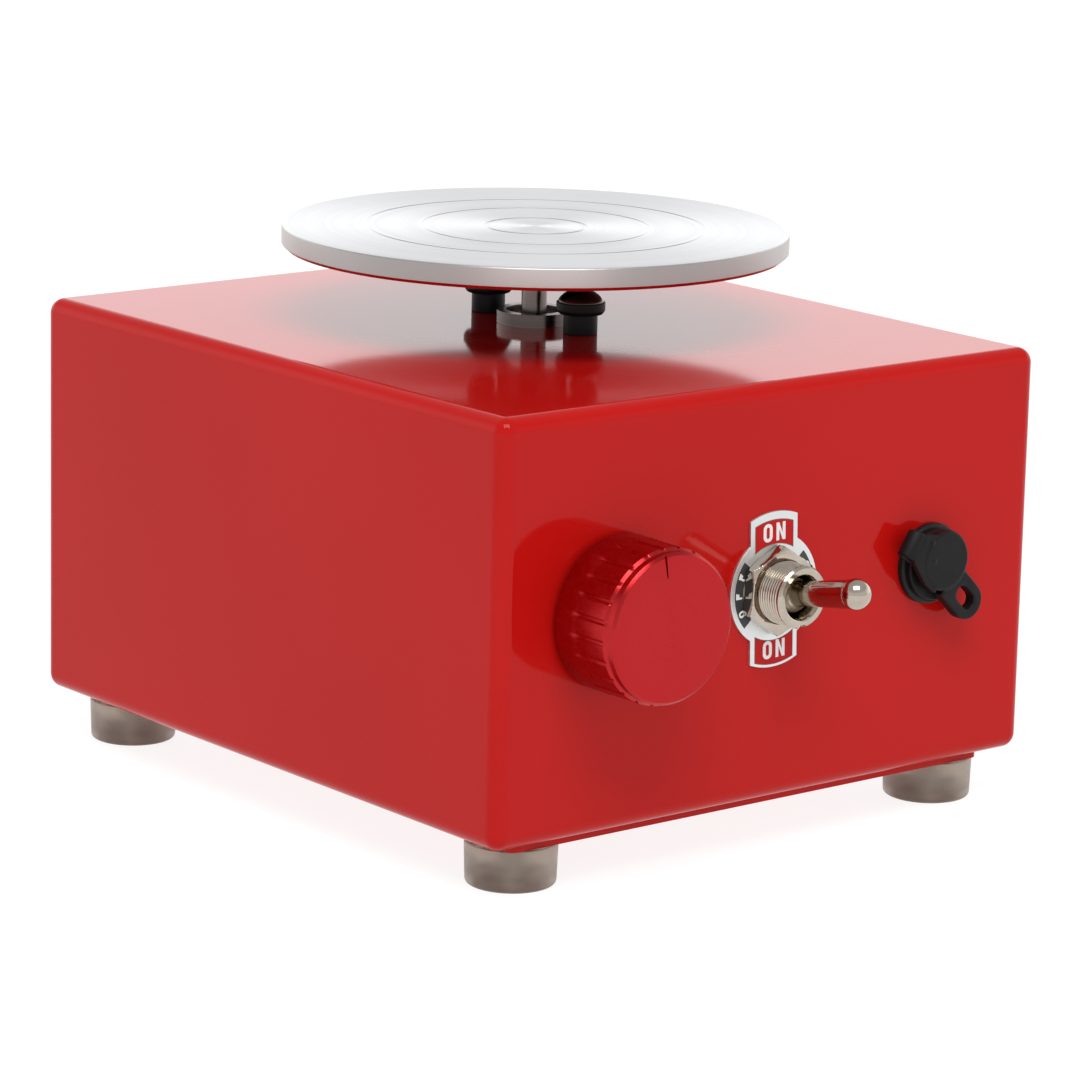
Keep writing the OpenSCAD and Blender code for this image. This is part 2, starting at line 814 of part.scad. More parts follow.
// Pull loop in outline: a long ring that points away from the disc
module loop_outline() {
    end = 9.7;
    half = 3.7;
    slot_from = 7;
    slot_r = 1.9;
    translate(loop_shift) rotate(loop_a) difference() {
        union() {
            translate([end, 0]) circle(half);
            translate([3, -half]) square([end - 3, 2 * half]);
        }
        for (x = [slot_from, end + 0.2]) translate([x, 0]) circle(slot_r);
        translate([slot_from, -slot_r]) square([end + 0.2 - slot_from, 2 * slot_r]);
    }
}

// Rubber cap with its plug, pull loop and the strap's upper half
module jack_cap() {
    bend_r = (cap_face - jack_flange_t) / 2;
    plug_low = 1;
    color([0.09, 0.09, 0.09]) on_panel(jack_x, jack_z) difference() {
        union() {
            translate(cap_shift) rod(cap_r, cap_back, cap_face);
            translate([0, 0, loop_back]) linear_extrude(loop_face - loop_back) loop_outline();
            rotate([0, 0, strap_a]) {
                slab([0, -strap_w / 2, cap_face - collar_t],
                    [fold_reach - bend_r, strap_w / 2, cap_face]);
                strap_fold(true);
            }
            rotate_extrude() polygon([[0, plug_low], [2.55, plug_low], [2.9, cap_back + eps],
                [0, cap_back + eps]]);
        }
        rod(1.8, plug_low - 1, cap_back + 0.6);
    }
}

// ---- Control board ----

module control_board() {
    color("seagreen") difference() {
        translate([-board_w / 2, board_y - board_d / 2, board_z]) cube([board_w, board_d, board_t]);
        at_standoffs() rod(m3_r + slip_gap, board_z - 1, board_z + board_t + 1);
    }
}

board_top = board_z + board_t;

module terminal_block() {
    ways = 6;
    pitch = 5;
    x0 = -22;
    y0 = board_y - 14;
    color("green") difference() {
        slab([x0, y0, board_top], [x0 + ways * pitch, y0 + 7.5, board_top + 10]);
        for (i = [0 : ways - 1]) translate([x0 + (i + 0.5) * pitch, 0, 0]) {
            translate([0, y0 + 3.75, board_top + 7]) cylinder(r = 1.9, h = 4);
            slab([-1.7, y0 - 1, board_top + 1.2], [1.7, y0 + 4, board_top + 4.8]);
        }
    }
}

module board_capacitor() {
    color("midnightblue") translate([-24, board_y + 7, board_top]) rotate_extrude()
        polygon([[0, 0], [5, 0], [5, 2], [4.7, 2.4], [5, 2.8], [5, 16], [4.6, 16.4], [0, 16.4]]);
}

module timer_chip() {
    x0 = -12;
    y0 = board_y + 2;
    color([0.1, 0.1, 0.1]) {
        slab([x0, y0, board_top + 0.5], [x0 + 9.6, y0 + 6.4, board_top + 3.8]);
        for (i = [0 : 3], sy = [0, 1]) translate([x0 + 1 + i * 2.54, y0 + sy * 6.4, board_top])
            translate([-0.3, -0.25, 0]) cube([0.6, 0.5, 2]);
    }
}

// Power transistor that stands against the heatsink
module mosfet() {
    x0 = 8;
    y0 = board_y + 6.9;
    color([0.1, 0.1, 0.1]) difference() {
        union() {
            slab([x0, y0 - 4.4, board_top + 4], [x0 + 10, y0 - 1.3, board_top + 13]);
            slab([x0, y0 - 1.3, board_top + 4], [x0 + 10, y0, board_top + 19]);
            for (i = [-1 : 1]) slab([x0 + 5 + i * 2.54 - 0.4, y0 - 2.8, board_top],
                [x0 + 5 + i * 2.54 + 0.4, y0 - 2.3, board_top + 4.5]);
        }
        translate([x0 + 5, y0 + 1, board_top + 16]) rotate([90, 0, 0]) cylinder(r = 1.8, h = 4);
    }
}

module heatsink() {
    x0 = 2;
    y0 = board_y + 6.9;
    fins = 6;
    color("silver") {
        slab([x0, y0, board_top], [x0 + 22, y0 + 1.6, board_top + 22]);
        for (i = [0 : fins - 1]) slab([x0 + i * 4.1, y0 + 1.5, board_top],
            [x0 + i * 4.1 + 1.2, y0 + 7.5, board_top + 22]);
    }
}

module board_standoffs() {
    color("gold") at_standoffs() difference() {
        translate([0, 0, plate_top]) cylinder(r = 5.5 / sqrt(3), h = board_z - plate_top, $fn = 6);
        rod(m3_r + run_gap, plate_top - 1, board_z + 1);
    }
}

// Screws through the board from above, and through the plate from below
module board_screws() {
    color("silver") at_standoffs() {
        translate([0, 0, board_top]) mirror([0, 0, 1])
            pan_screw(head_m3_r, plate_screw_h, m3_r, board_t + 2.5);
        translate([0, 0, foot_h]) pan_screw(head_m3_r, plate_screw_h, m3_r, plate_t + 2.5);
    }
}

// ---- Wiring ----

panel_in = -body_d / 2;
block_y = board_y - 14;
block_z = board_top + 3;

// From the socket to the board, and from the board to the switch's middle lugs
module power_leads() {
    color([0.55, 0.05, 0.05]) {
        wire([[jack_x, panel_in + 19.2, jack_z + 3], [jack_x + 1, panel_in + 24, jack_z + 2],
            [46, -34, 40], [48, -6, 24], [36, 16, 18], [22, 22, block_z], [5.5, 23, block_z],
            [5.5, block_y + 3.8, block_z]], 0.9);
        wire([[jack_x, panel_in + 19.2, jack_z - 3], [jack_x + 1, panel_in + 24, jack_z - 5],
            [43, -34, 34], [44, -6, 18], [34, 18, 22], [20, 24, 23], [6, 23.5, 22.6],
            [0.5, 25, block_z + 1], [0.5, block_y + 3.8, block_z]], 0.9);
    }
}

// From the board to the switch, and from the switch to the motor's terminals
module motor_leads() {
    lug_y = panel_in + 33.2;
    color([0.1, 0.1, 0.12]) for (sx = [-1, 1]) {
        lug_x = switch_x + sx * 4.5;
        wire([[lug_x, lug_y, switch_z], [lug_x + sx * 2, lug_y + 5, switch_z - 6],
            [sx * 20, -30, 30], [sx * 27, -4, 22], [sx * 21, 16, 16],
            [-7 + sx * 2.5, 21, block_z], [-7 + sx * 2.5, block_y + 3.8, block_z]], 0.9);
        wire([[lug_x, lug_y, switch_z - 11], [lug_x, lug_y + 3, switch_z - 18],
            [sx * 9, -30, 20], [sx * (terminal_x + 4), -8, 14],
            [sx * (terminal_x + 3), 0, endbell_low - 3],
            [sx * (terminal_x + 0.7), 0, endbell_low - 3]], 0.9);
        wire([[lug_x, lug_y, switch_z + 11], [lug_x, lug_y + 4, switch_z + 8],
            [lug_x - sx * 1, lug_y + 7, switch_z], [lug_x, lug_y + 4, switch_z - 8.2]], 0.7);
    }
}

// From the speed control's three lugs to the board
module pot_leads() {
    lug_z = knob_z - 17;
    color([0.75, 0.6, 0.1]) for (i = [-1 : 1])
        wire([[knob_x + i * 5, panel_in + 4.1, lug_z], [knob_x + i * 5, panel_in + 5, lug_z - 5],
            [-40 + i * 2.5, -50, 20 + i], [-40 + i * 2.5, -10, 13.5], [-30 + i * 2, 14, 13.5],
            [-24 + i * 3, 21, block_z - 1], [-24 + i * 3, board_y - 15, board_z + 0.8]], 0.6);
}

body_shell();
bottom_plate();
rivet_nuts();
foot_front_left();
foot_front_right();
foot_rear_left();
foot_rear_right();
foot_screws();
foot_washers();
motor_can();
flux_ring();
motor_magnets();
motor_endbell();
motor_bearings();
motor_brushes();
motor_terminals();
motor_shaft();
rotor_core();
rotor_windings();
commutator();
turntable_disc();
flange_hub();
hub_screws();
hub_set_screw();
motor_screws();
motor_spacers();
speed_knob();
knob_set_screw();
pot_case();
pot_track();
pot_bushing();
pot_washer();
pot_nut();
pot_shaft();
pot_terminals();
switch_case();
switch_bushing();
switch_back_nut();
switch_front_nut();
legend_plate();
toggle_lever();
switch_rocker();
switch_terminals();
jack_body();
jack_nut();
jack_pin();
jack_terminals();
cap_strap();
jack_cap();
control_board();
terminal_block();
board_capacitor();
timer_chip();
mosfet();
heatsink();
board_standoffs();
board_screws();
power_leads();
motor_leads();
pot_leads();
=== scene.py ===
"""Looks for the mini electric pottery wheel.

Lengths in the outlines are millimetres and become metres when a piece is made.
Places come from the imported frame: each control's outlines are drawn in its own
axes, with x to the right, y up and z straight out of the control panel.
"""

import json
import math

import bmesh
import bpy
from mathutils import Matrix, Vector


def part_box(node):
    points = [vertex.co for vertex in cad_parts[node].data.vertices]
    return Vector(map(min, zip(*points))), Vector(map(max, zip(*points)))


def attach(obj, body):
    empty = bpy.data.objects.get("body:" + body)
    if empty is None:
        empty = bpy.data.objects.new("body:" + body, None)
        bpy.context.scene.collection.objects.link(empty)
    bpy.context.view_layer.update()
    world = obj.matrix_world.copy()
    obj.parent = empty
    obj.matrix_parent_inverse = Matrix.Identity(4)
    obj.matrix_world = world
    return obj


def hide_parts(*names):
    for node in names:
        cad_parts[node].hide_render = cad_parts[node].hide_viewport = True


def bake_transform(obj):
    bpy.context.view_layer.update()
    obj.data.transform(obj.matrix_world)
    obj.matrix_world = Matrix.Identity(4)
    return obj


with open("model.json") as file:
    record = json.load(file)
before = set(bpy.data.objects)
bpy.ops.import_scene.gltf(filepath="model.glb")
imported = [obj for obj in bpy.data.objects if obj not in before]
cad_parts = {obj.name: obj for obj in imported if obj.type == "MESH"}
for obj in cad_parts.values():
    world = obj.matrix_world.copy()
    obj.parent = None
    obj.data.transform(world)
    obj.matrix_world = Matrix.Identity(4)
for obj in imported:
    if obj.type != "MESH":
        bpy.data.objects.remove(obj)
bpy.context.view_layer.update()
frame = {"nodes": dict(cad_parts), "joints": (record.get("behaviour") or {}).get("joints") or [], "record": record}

MM = 0.001
FINE = 160                      # segments of an ordinary turned piece
MERGE_MM = 1e-5

JOINTS = {joint["name"]: joint for joint in frame["joints"]}
SLOT_OF = {row["node"]: row["material_slot"] for row in frame["record"]["subparts"]}


# ---------------------------------------------------------------- places

shell_low, shell_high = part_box("body_shell")
panel_y = shell_low.y


def panel_frame(x, z):
    """Axes of a control on the panel: x right, y up, z out of the panel."""
    turn = Matrix(((1, 0, 0), (0, 0, -1), (0, 1, 0))).to_4x4()
    return Matrix.Translation((x, panel_y, z)) @ turn


def node_middle(node):
    """Middle of a CAD node's box."""
    low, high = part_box(node)
    return (low + high) / 2


knob_at = Vector(JOINTS["knob_turn"]["pos_m"])
lever_at = Vector(JOINTS["lever_throw"]["pos_m"])
switch_mid = node_middle("legend_plate")
jack_mid = node_middle("jack_pin")
knob_frame = panel_frame(knob_at.x, knob_at.z)
switch_frame = panel_frame(switch_mid.x, switch_mid.z)
jack_frame = panel_frame(jack_mid.x, jack_mid.z)


# ---------------------------------------------------------------- outlines

def fillet(points, closed=True, steps=6):
    """Outline with an arc at each point that gives a radius as its third number."""
    out = []
    count = len(points)
    for i, point in enumerate(points):
        here = Vector(point[:2])
        radius = point[2] if len(point) > 2 else 0
        if radius == 0 or (not closed and i in (0, count - 1)):
            out.append(tuple(here))
            continue
        back = Vector(points[i - 1][:2]) - here
        ahead = Vector(points[(i + 1) % count][:2]) - here
        u, v = back.normalized(), ahead.normalized()
        half = u.angle(v) / 2
        cut = min(radius / math.tan(half), back.length * 0.499, ahead.length * 0.499)
        centre = here + (u + v).normalized() * (cut / math.cos(half))
        first = here + u * cut - centre
        last = here + v * cut - centre
        start = math.atan2(first.y, first.x)
        sweep = (math.atan2(last.y, last.x) - start + math.pi) % (2 * math.pi) - math.pi
        for k in range(steps + 1):
            a = start + sweep * k / steps
            out.append((centre.x + first.length * math.cos(a),
                        centre.y + first.length * math.sin(a)))
    return out


def arc(radius, from_deg, to_deg, steps=24, centre=(0, 0)):
    """Points along an arc, with both its ends."""
    turns = [math.radians(from_deg + (to_deg - from_deg) * k / steps) for k in range(steps + 1)]
    return [(centre[0] + radius * math.cos(a), centre[1] + radius * math.sin(a)) for a in turns]


def circle(radius, count, centre=(0, 0)):
    """Closed outline of that many points."""
    return arc(radius, 0, 360 * (count - 1) / count, count - 1, centre)


def rectangle(x, y, radius, steps=6):
    """Outline that runs from -x to x and from -y to y, with its corners rounded."""
    corners = [(-x, -y, radius), (x, -y, radius), (x, y, radius), (-x, y, radius)]
    return fillet(corners, steps=steps)


# ---------------------------------------------------------------- mesh tools

def new_piece(name, mesh, place=None, sharp_deg=32):
    """Object of a mesh in millimetres, smooth except at edges sharper than sharp_deg."""
    mesh.transform(Matrix.Scale(MM, 4))
    mesh.shade_smooth()
    mesh.set_sharp_from_angle(angle=math.radians(sharp_deg))
    piece = bpy.data.objects.new(name, mesh)
    bpy.context.scene.collection.objects.link(piece)
    if place is not None:
        piece.matrix_world = place
    return piece


def mesh_of(name, bm):
    """Clean mesh of a bmesh, which it frees."""
    bmesh.ops.remove_doubles(bm, verts=bm.verts, dist=MERGE_MM)
    bmesh.ops.dissolve_degenerate(bm, edges=bm.edges, dist=1e-6)
    bmesh.ops.recalc_face_normals(bm, faces=bm.faces)
    mesh = bpy.data.meshes.new(name)
    bm.to_mesh(mesh)
    bm.free()
    return mesh


def lathe(name, outline, place=None, segments=FINE, shape=None, sharp_deg=32):
    """Turned piece: a closed outline of (radius, height) spun about the local z axis.
    shape(radius, height, angle) may give each point another radius."""
    bm = bmesh.new()
    rings = []
    for k in range(segments):
        a = 2 * math.pi * k / segments
        ring = []
        for r, h in outline:
            here = shape(r, h, a) if shape else r
            ring.append(bm.verts.new((here * math.cos(a), here * math.sin(a), h)))
        rings.append(ring)
    count = len(outline)
    for k in range(segments):
        near, far = rings[k], rings[(k + 1) % segments]
        for i in range(count):
            j = (i + 1) % count
            if outline[i][0] < 1e-6 and outline[j][0] < 1e-6:
                continue
            bm.faces.new((near[i], near[j], far[j], far[i]))
    return new_piece(name, mesh_of(name, bm), place, sharp_deg)


def prism(name, outlines, low, high, place=None, bevel=0.0):
    """Flat piece between two heights. The first outline is its edge and the rest are holes."""
    bm = bmesh.new()
    edges = []
    for outline in outlines:
        ring = [bm.verts.new((x, y, low)) for x, y in outline]
        edges += [bm.edges.new((ring[i - 1], ring[i])) for i in range(len(ring))]
    bmesh.ops.triangle_fill(bm, use_beauty=True, use_dissolve=True, edges=edges)
    for face in bm.faces:
        if face.normal.z > 0:
            face.normal_flip()
    raised = bmesh.ops.extrude_face_region(bm, geom=list(bm.faces))
    tops = [g for g in raised["geom"] if isinstance(g, bmesh.types.BMVert)]
    bmesh.ops.translate(bm, verts=tops, vec=(0, 0, high - low))
    bmesh.ops.recalc_face_normals(bm, faces=bm.faces)
    if bevel:
        rim = [e for e in bm.edges if len(e.link_faces) == 2 and e.calc_face_angle(0) > 1.2
               and min(v.co.z for v in e.verts) > high - 1e-4]
        bmesh.ops.bevel(bm, geom=rim, offset=bevel, segments=2, profile=0.5, affect="EDGES")
    return new_piece(name, mesh_of(name, bm), place)


def round_block(name, size, middle, radius, segments=8):
    """Box with every edge rounded, in millimetres."""
    bm = bmesh.new()
    bmesh.ops.create_cube(bm, size=1)
    bmesh.ops.scale(bm, vec=size, verts=bm.verts)
    bmesh.ops.bevel(bm, geom=list(bm.edges), offset=radius, segments=segments,
                    profile=0.5, affect="EDGES")
    bmesh.ops.translate(bm, verts=bm.verts, vec=middle)
    return new_piece(name, mesh_of(name, bm))


def bake_modifiers(piece):
    """Applies the piece's modifiers to its mesh."""
    graph = bpy.context.evaluated_depsgraph_get()
    graph.update()
    mesh = bpy.data.meshes.new_from_object(piece.evaluated_get(graph))
    piece.modifiers.clear()
    piece.data = mesh


def combine(piece, others, operation):
    """Cuts the others from the piece, or joins them to it, and removes them."""
    for other in others:
        modifier = piece.modifiers.new(operation.lower(), "BOOLEAN")
        modifier.operation = operation
        modifier.solver = "EXACT"
        modifier.object = other
        bake_modifiers(piece)
        bpy.data.objects.remove(other)


def weigh_normals(piece):
    """Large flat faces keep their own normals, so that their reflections stay straight."""
    piece.data.set_sharp_from_angle(angle=math.radians(40))
    modifier = piece.modifiers.new("weigh", "WEIGHTED_NORMAL")
    modifier.mode = "FACE_AREA"
    modifier.weight = 100
    modifier.keep_sharp = True
    bake_modifiers(piece)


def remelt(piece, voxel, smooth_steps):
    """Blends a piece made of joined shapes into one soft moulding."""
    modifier = piece.modifiers.new("remesh", "REMESH")
    modifier.mode = "VOXEL"
    modifier.voxel_size = voxel * MM
    modifier.use_smooth_shade = True
    soften = piece.modifiers.new("soften", "SMOOTH")
    soften.factor = 0.5
    soften.iterations = smooth_steps
    bake_modifiers(piece)
    piece.data.shade_smooth()


# ---------------------------------------------------------------- materials

def socket(graph, target, name, value):
    """Sets a socket, or links it when the value is another node's output."""
    if isinstance(value, bpy.types.NodeSocket):
        graph.links.new(value, target.inputs[name])
    else:
        target.inputs[name].default_value = value


def add(graph, kind, settings=None, **values):
    """Adds a node, with its sockets given by name and its settings as a dictionary."""
    node = graph.nodes.new(kind)
    for key, value in (settings or {}).items():
        setattr(node, key, value)
    for key, value in values.items():
        socket(graph, node, key.replace("_", " "), value)
    return node


def principled(name, **values):
    """Material of one Principled shader. Returns the material, its graph and the shader."""
    material = bpy.data.materials.new(name)
    material.use_nodes = True
    graph = material.node_tree
    shader = graph.nodes["Principled BSDF"]
    for key, value in values.items():
        socket(graph, shader, key.replace("_", " "), value)
    return material, graph, shader


def place_of(graph):
    """The piece's own coordinates, in metres."""
    return add(graph, "ShaderNodeTexCoord").outputs["Object"]


def noise(graph, scale, detail, roughness=0.5):
    """Cloudy number from 0 to 1, with that many clouds to the metre."""
    return add(graph, "ShaderNodeTexNoise", Vector=place_of(graph), Scale=scale, Detail=detail,
               Roughness=roughness).outputs["Fac"]


def sum_of(graph, operation, first, second):
    """Result of a sum on two nodes' outputs, or on one and a plain number."""
    node = add(graph, "ShaderNodeMath", {"operation": operation})
    graph.links.new(first, node.inputs[0])
    if isinstance(second, bpy.types.NodeSocket):
        graph.links.new(second, node.inputs[1])
    else:
        node.inputs[1].default_value = second
    return node.outputs["Value"]


def spread(graph, fac, low, high, from_low=0.3, from_high=0.7):
    """Number that runs from low to high as fac runs over the usual range of noise."""
    node = add(graph, "ShaderNodeMapRange", Value=fac)
    for key, value in (("From Min", from_low), ("From Max", from_high),
                       ("To Min", low), ("To Max", high)):
        node.inputs[key].default_value = value
    return node.outputs["Result"]


def two_tone(graph, fac, first, second, from_low=0.35, from_high=0.65):
    """Colour that runs from the first to the second as fac goes up."""
    ramp = add(graph, "ShaderNodeValToRGB", Fac=fac)
    ramp.color_ramp.elements[0].position = from_low
    ramp.color_ramp.elements[0].color = (*first, 1)
    ramp.color_ramp.elements[1].position = from_high
    ramp.color_ramp.elements[1].color = (*second, 1)
    return ramp.outputs["Color"]


def bump(graph, shader, height, strength, distance):
    """Adds a bump of that height in metres under whatever bump the shader already has."""
    node = add(graph, "ShaderNodeBump", Strength=strength, Distance=distance, Height=height)
    if shader.inputs["Normal"].is_linked:
        earlier = shader.inputs["Normal"].links[0].from_socket
        graph.links.new(earlier, node.inputs["Normal"])
    graph.links.new(node.outputs["Normal"], shader.inputs["Normal"])


def turned_lines(graph, scale, stretch_along):
    """Fine rings round the local z axis, as a turning tool leaves them."""
    parts = add(graph, "ShaderNodeSeparateXYZ", Vector=place_of(graph))
    flat = add(graph, "ShaderNodeCombineXYZ", X=parts.outputs["X"], Y=parts.outputs["Y"])
    radius = add(graph, "ShaderNodeVectorMath", {"operation": "LENGTH"})
    graph.links.new(flat.outputs["Vector"], radius.inputs[0])
    along = sum_of(graph, "MULTIPLY", parts.outputs["Z"], stretch_along)
    where = add(graph, "ShaderNodeCombineXYZ", X=radius.outputs["Value"], Y=along)
    return add(graph, "ShaderNodeTexNoise", Vector=where.outputs["Vector"], Scale=scale,
               Detail=3.0, Roughness=0.6).outputs["Fac"]


def gloss_paint():
    """Thick sprayed enamel, with faint orange peel."""
    material, graph, shader = principled("red_paint", Roughness=0.08, IOR=1.24)
    tone = two_tone(graph, noise(graph, 14, 3), (0.405, 0.0046, 0.0034), (0.43, 0.0054, 0.0040))
    socket(graph, shader, "Base Color", tone)
    bump(graph, shader, noise(graph, 420, 2), 0.12, 0.00002)
    bump(graph, shader, noise(graph, 90, 1), 0.10, 0.00006)
    return material


def turned_metal(name, light, dark, rough, anisotropy, scale, depth=0.000004, stretch_along=0.15):
    """Metal with turning marks round the local z axis."""
    material, graph, shader = principled(name, Metallic=1.0, Anisotropic=anisotropy,
                                         Anisotropic_Rotation=0.25)
    lines = turned_lines(graph, scale, stretch_along)
    socket(graph, shader, "Base Color", two_tone(graph, lines, dark, light, 0.3, 0.7))
    socket(graph, shader, "Roughness", spread(graph, lines, rough * 0.85, rough * 1.15))
    tangent = add(graph, "ShaderNodeTangent", {"direction_type": "RADIAL", "axis": "Z"})
    socket(graph, shader, "Tangent", tangent.outputs["Tangent"])
    bump(graph, shader, lines, 0.35, depth)
    return material


def worn_metal(name, light, dark, rough, scale=260):
    """Cast or plated metal with soft patches and fine grain."""
    material, graph, shader = principled(name, Metallic=1.0)
    patches = noise(graph, scale, 4, 0.6)
    socket(graph, shader, "Base Color", two_tone(graph, patches, dark, light))
    wear = noise(graph, scale * 2.3, 3)
    socket(graph, shader, "Roughness", spread(graph, wear, rough * 0.8, rough * 1.3))
    bump(graph, shader, noise(graph, scale * 9, 2), 0.15, 0.000008)
    return material


def moulded(name, light, dark, rough, grain=1800, depth=0.00001, **values):
    """Moulded plastic, rubber or ink with a fine surface grain."""
    material, graph, shader = principled(name, **values)
    socket(graph, shader, "Base Color", two_tone(graph, noise(graph, 160, 3), dark, light))
    wear = noise(graph, 500, 3)
    socket(graph, shader, "Roughness", spread(graph, wear, rough * 0.85, rough * 1.15))
    bump(graph, shader, noise(graph, grain, 2), 0.3, depth)
    return material


def smoky_rubber():
    """Clear smoke-coloured soft plastic, cloudy inside, with painted shade that darkens it towards the floor."""
    material, graph, shader = principled(
        "foot_rubber", IOR=1.45, Transmission_Weight=0.55, Subsurface_Weight=0.35,
        Subsurface_Scale=0.004)
    shader.inputs["Subsurface Radius"].default_value = (1.0, 0.8, 0.7)
    height = add(graph, "ShaderNodeSeparateXYZ", Vector=place_of(graph)).outputs["Z"]
    # Painted shade: the colour runs from dark at the floor to light at the top of the foot, with cloudy patches
    # over it.
    rise = spread(graph, height, 0, 1, 0.0005, 0.0075)
    cloud = spread(graph, noise(graph, 130, 2), -0.25, 0.25)
    depth = sum_of(graph, "ADD", rise, cloud)
    socket(graph, shader, "Base Color",
           two_tone(graph, depth, (0.185, 0.125, 0.095), (0.50, 0.425, 0.35), 0.0, 0.9))
    socket(graph, shader, "Roughness", spread(graph, noise(graph, 600, 2), 0.30, 0.42))
    bump(graph, shader, noise(graph, 900, 2), 0.2, 0.00002)
    return material


def fibre_board():
    """Green circuit board with faint copper tracks under its varnish."""
    material, graph, shader = principled("green_board", Roughness=0.35, Coat_Weight=0.4)
    varnish, track = (0.012, 0.13, 0.05, 1), (0.02, 0.24, 0.09, 1)
    tracks = add(graph, "ShaderNodeTexBrick", {"offset": 0.5}, Vector=place_of(graph), Scale=190.0,
                 Color1=varnish, Color2=varnish, Mortar=track)
    socket(graph, shader, "Base Color", tracks.outputs["Color"])
    bump(graph, shader, tracks.outputs["Fac"], 0.3, 0.00003)
    return material


def wound_copper():
    """Enamelled wire, as fine parallel turns."""
    material, graph, shader = principled("copper", Metallic=0.9, Roughness=0.3)
    wires = add(graph, "ShaderNodeTexWave", {"bands_direction": "X"}, Vector=place_of(graph),
                Scale=420.0, Distortion=1.5, Detail=1.0)
    socket(graph, shader, "Base Color",
           two_tone(graph, wires.outputs["Fac"], (0.25, 0.07, 0.02), (0.66, 0.26, 0.10), 0.1, 0.7))
    bump(graph, shader, wires.outputs["Fac"], 0.5, 0.00008)
    return material


MATERIALS = {
    "red_paint": gloss_paint(),
    "spun_aluminium": turned_metal("spun_aluminium", (0.55, 0.553, 0.566), (0.52, 0.523, 0.536),
                                   0.34, 0.6, 2600, 0.000002),
    "polished_edge": worn_metal("polished_edge", (0.62, 0.60, 0.60), (0.52, 0.50, 0.50), 0.14),
    # Side and underside of the disc: the same aluminium with coarser turning marks, in a darker tone that is
    # painted shade.
    "turned_rim": turned_metal("turned_rim", (0.54, 0.51, 0.50), (0.42, 0.395, 0.385),
                               0.48, 0.85, 5200, 0.000004, 1.2),
    "red_anodised": turned_metal("red_anodised", (0.445, 0.022, 0.025), (0.435, 0.020, 0.023),
                                 0.27, 0.7, 2600, 0.0000003),
    # The knob's fluted side: a plain copy of the face's anodised red, a little lighter as painted light on the
    # side.
    "anodised_side": worn_metal("anodised_side", (0.47, 0.024, 0.027), (0.44, 0.021, 0.024), 0.25),
    "nickel": worn_metal("nickel", (0.50, 0.445, 0.375), (0.43, 0.38, 0.32), 0.11),
    "zinc_steel": worn_metal("zinc_steel", (0.66, 0.67, 0.69), (0.54, 0.55, 0.58), 0.28),
    "motor_steel": turned_metal("motor_steel", (0.27, 0.24, 0.225), (0.20, 0.175, 0.165),
                                0.28, 0.4, 1800),
    "magnet": moulded("magnet", (0.17, 0.17, 0.18), (0.12, 0.12, 0.13), 0.6),
    "carbon": moulded("carbon", (0.07, 0.07, 0.075), (0.045, 0.045, 0.05), 0.5),
    "brass": worn_metal("brass", (0.80, 0.60, 0.28), (0.66, 0.46, 0.20), 0.24),
    "copper": wound_copper(),
    "black_steel": worn_metal("black_steel", (0.13, 0.085, 0.075), (0.08, 0.055, 0.05), 0.2),
    "black_plastic": moulded("black_plastic", (0.010, 0.010, 0.011), (0.006, 0.006, 0.007), 0.42,
                             IOR=1.30),
    "black_rubber": moulded("black_rubber", (0.008, 0.007, 0.008), (0.005, 0.004, 0.005), 0.46,
                            grain=1300, depth=0.00002, IOR=1.26),
    "foot_rubber": smoky_rubber(),
    "phenolic": moulded("phenolic", (0.34, 0.17, 0.08), (0.26, 0.12, 0.05), 0.45),
    "legend_silver": turned_metal("legend_silver", (0.72, 0.735, 0.735), (0.66, 0.675, 0.675),
                                  0.42, 0.2, 900),
    "bakelite": moulded("bakelite", (0.10, 0.05, 0.035), (0.07, 0.035, 0.025), 0.4),
    "green_board": fibre_board(),
    "green_plastic": moulded("green_plastic", (0.05, 0.33, 0.10), (0.04, 0.26, 0.08), 0.35),
    "blue_sleeve": moulded("blue_sleeve", (0.03, 0.05, 0.24), (0.02, 0.04, 0.18), 0.25),
    "wire_red": moulded("wire_red", (0.50, 0.03, 0.03), (0.40, 0.02, 0.02), 0.35),
    "wire_black": moulded("wire_black", (0.03, 0.03, 0.035), (0.02, 0.02, 0.025), 0.35),
    "wire_yellow": moulded("wire_yellow", (0.70, 0.50, 0.06), (0.60, 0.42, 0.04), 0.35),
}
INK_WHITE = moulded("ink_white", (0.74, 0.76, 0.75), (0.68, 0.70, 0.69), 0.4)
INK_RED = moulded("ink_red", (0.46, 0.012, 0.012), (0.42, 0.009, 0.009), 0.5, IOR=1.2)
INK_BLACK = moulded("ink_black", (0.030, 0.031, 0.034), (0.020, 0.021, 0.023), 0.4)
INK_GREY = moulded("ink_grey", (0.16, 0.12, 0.12), (0.12, 0.09, 0.09), 0.4)


def dress(piece, body, slot, *nodes, material=None):
    """Gives a piece its material, its body and the CAD nodes that it stands for."""
    piece.data.materials.clear()
    piece.data.materials.append(material or MATERIALS[slot])
    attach(piece, body)
    if nodes:
        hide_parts(*nodes)


# ---------------------------------------------------------------- body

EDGE = 3.0
SHEET = 1.5
FLANGE = 15.0
SPARE = 1.0                     # how far a cutter stands out of what it cuts
FOOT_BORE = 2.1
FOOT_POCKET = 4.6
BOSS_HOLE = 7.5
RIVET_HOLE = 3.05
KNOB_HOLE = 3.6
SWITCH_HOLE = 6.1
JACK_HOLE = 5.6
SLEEVE_BORE = 2.1
SCREW_COLLAR_R = 4.8


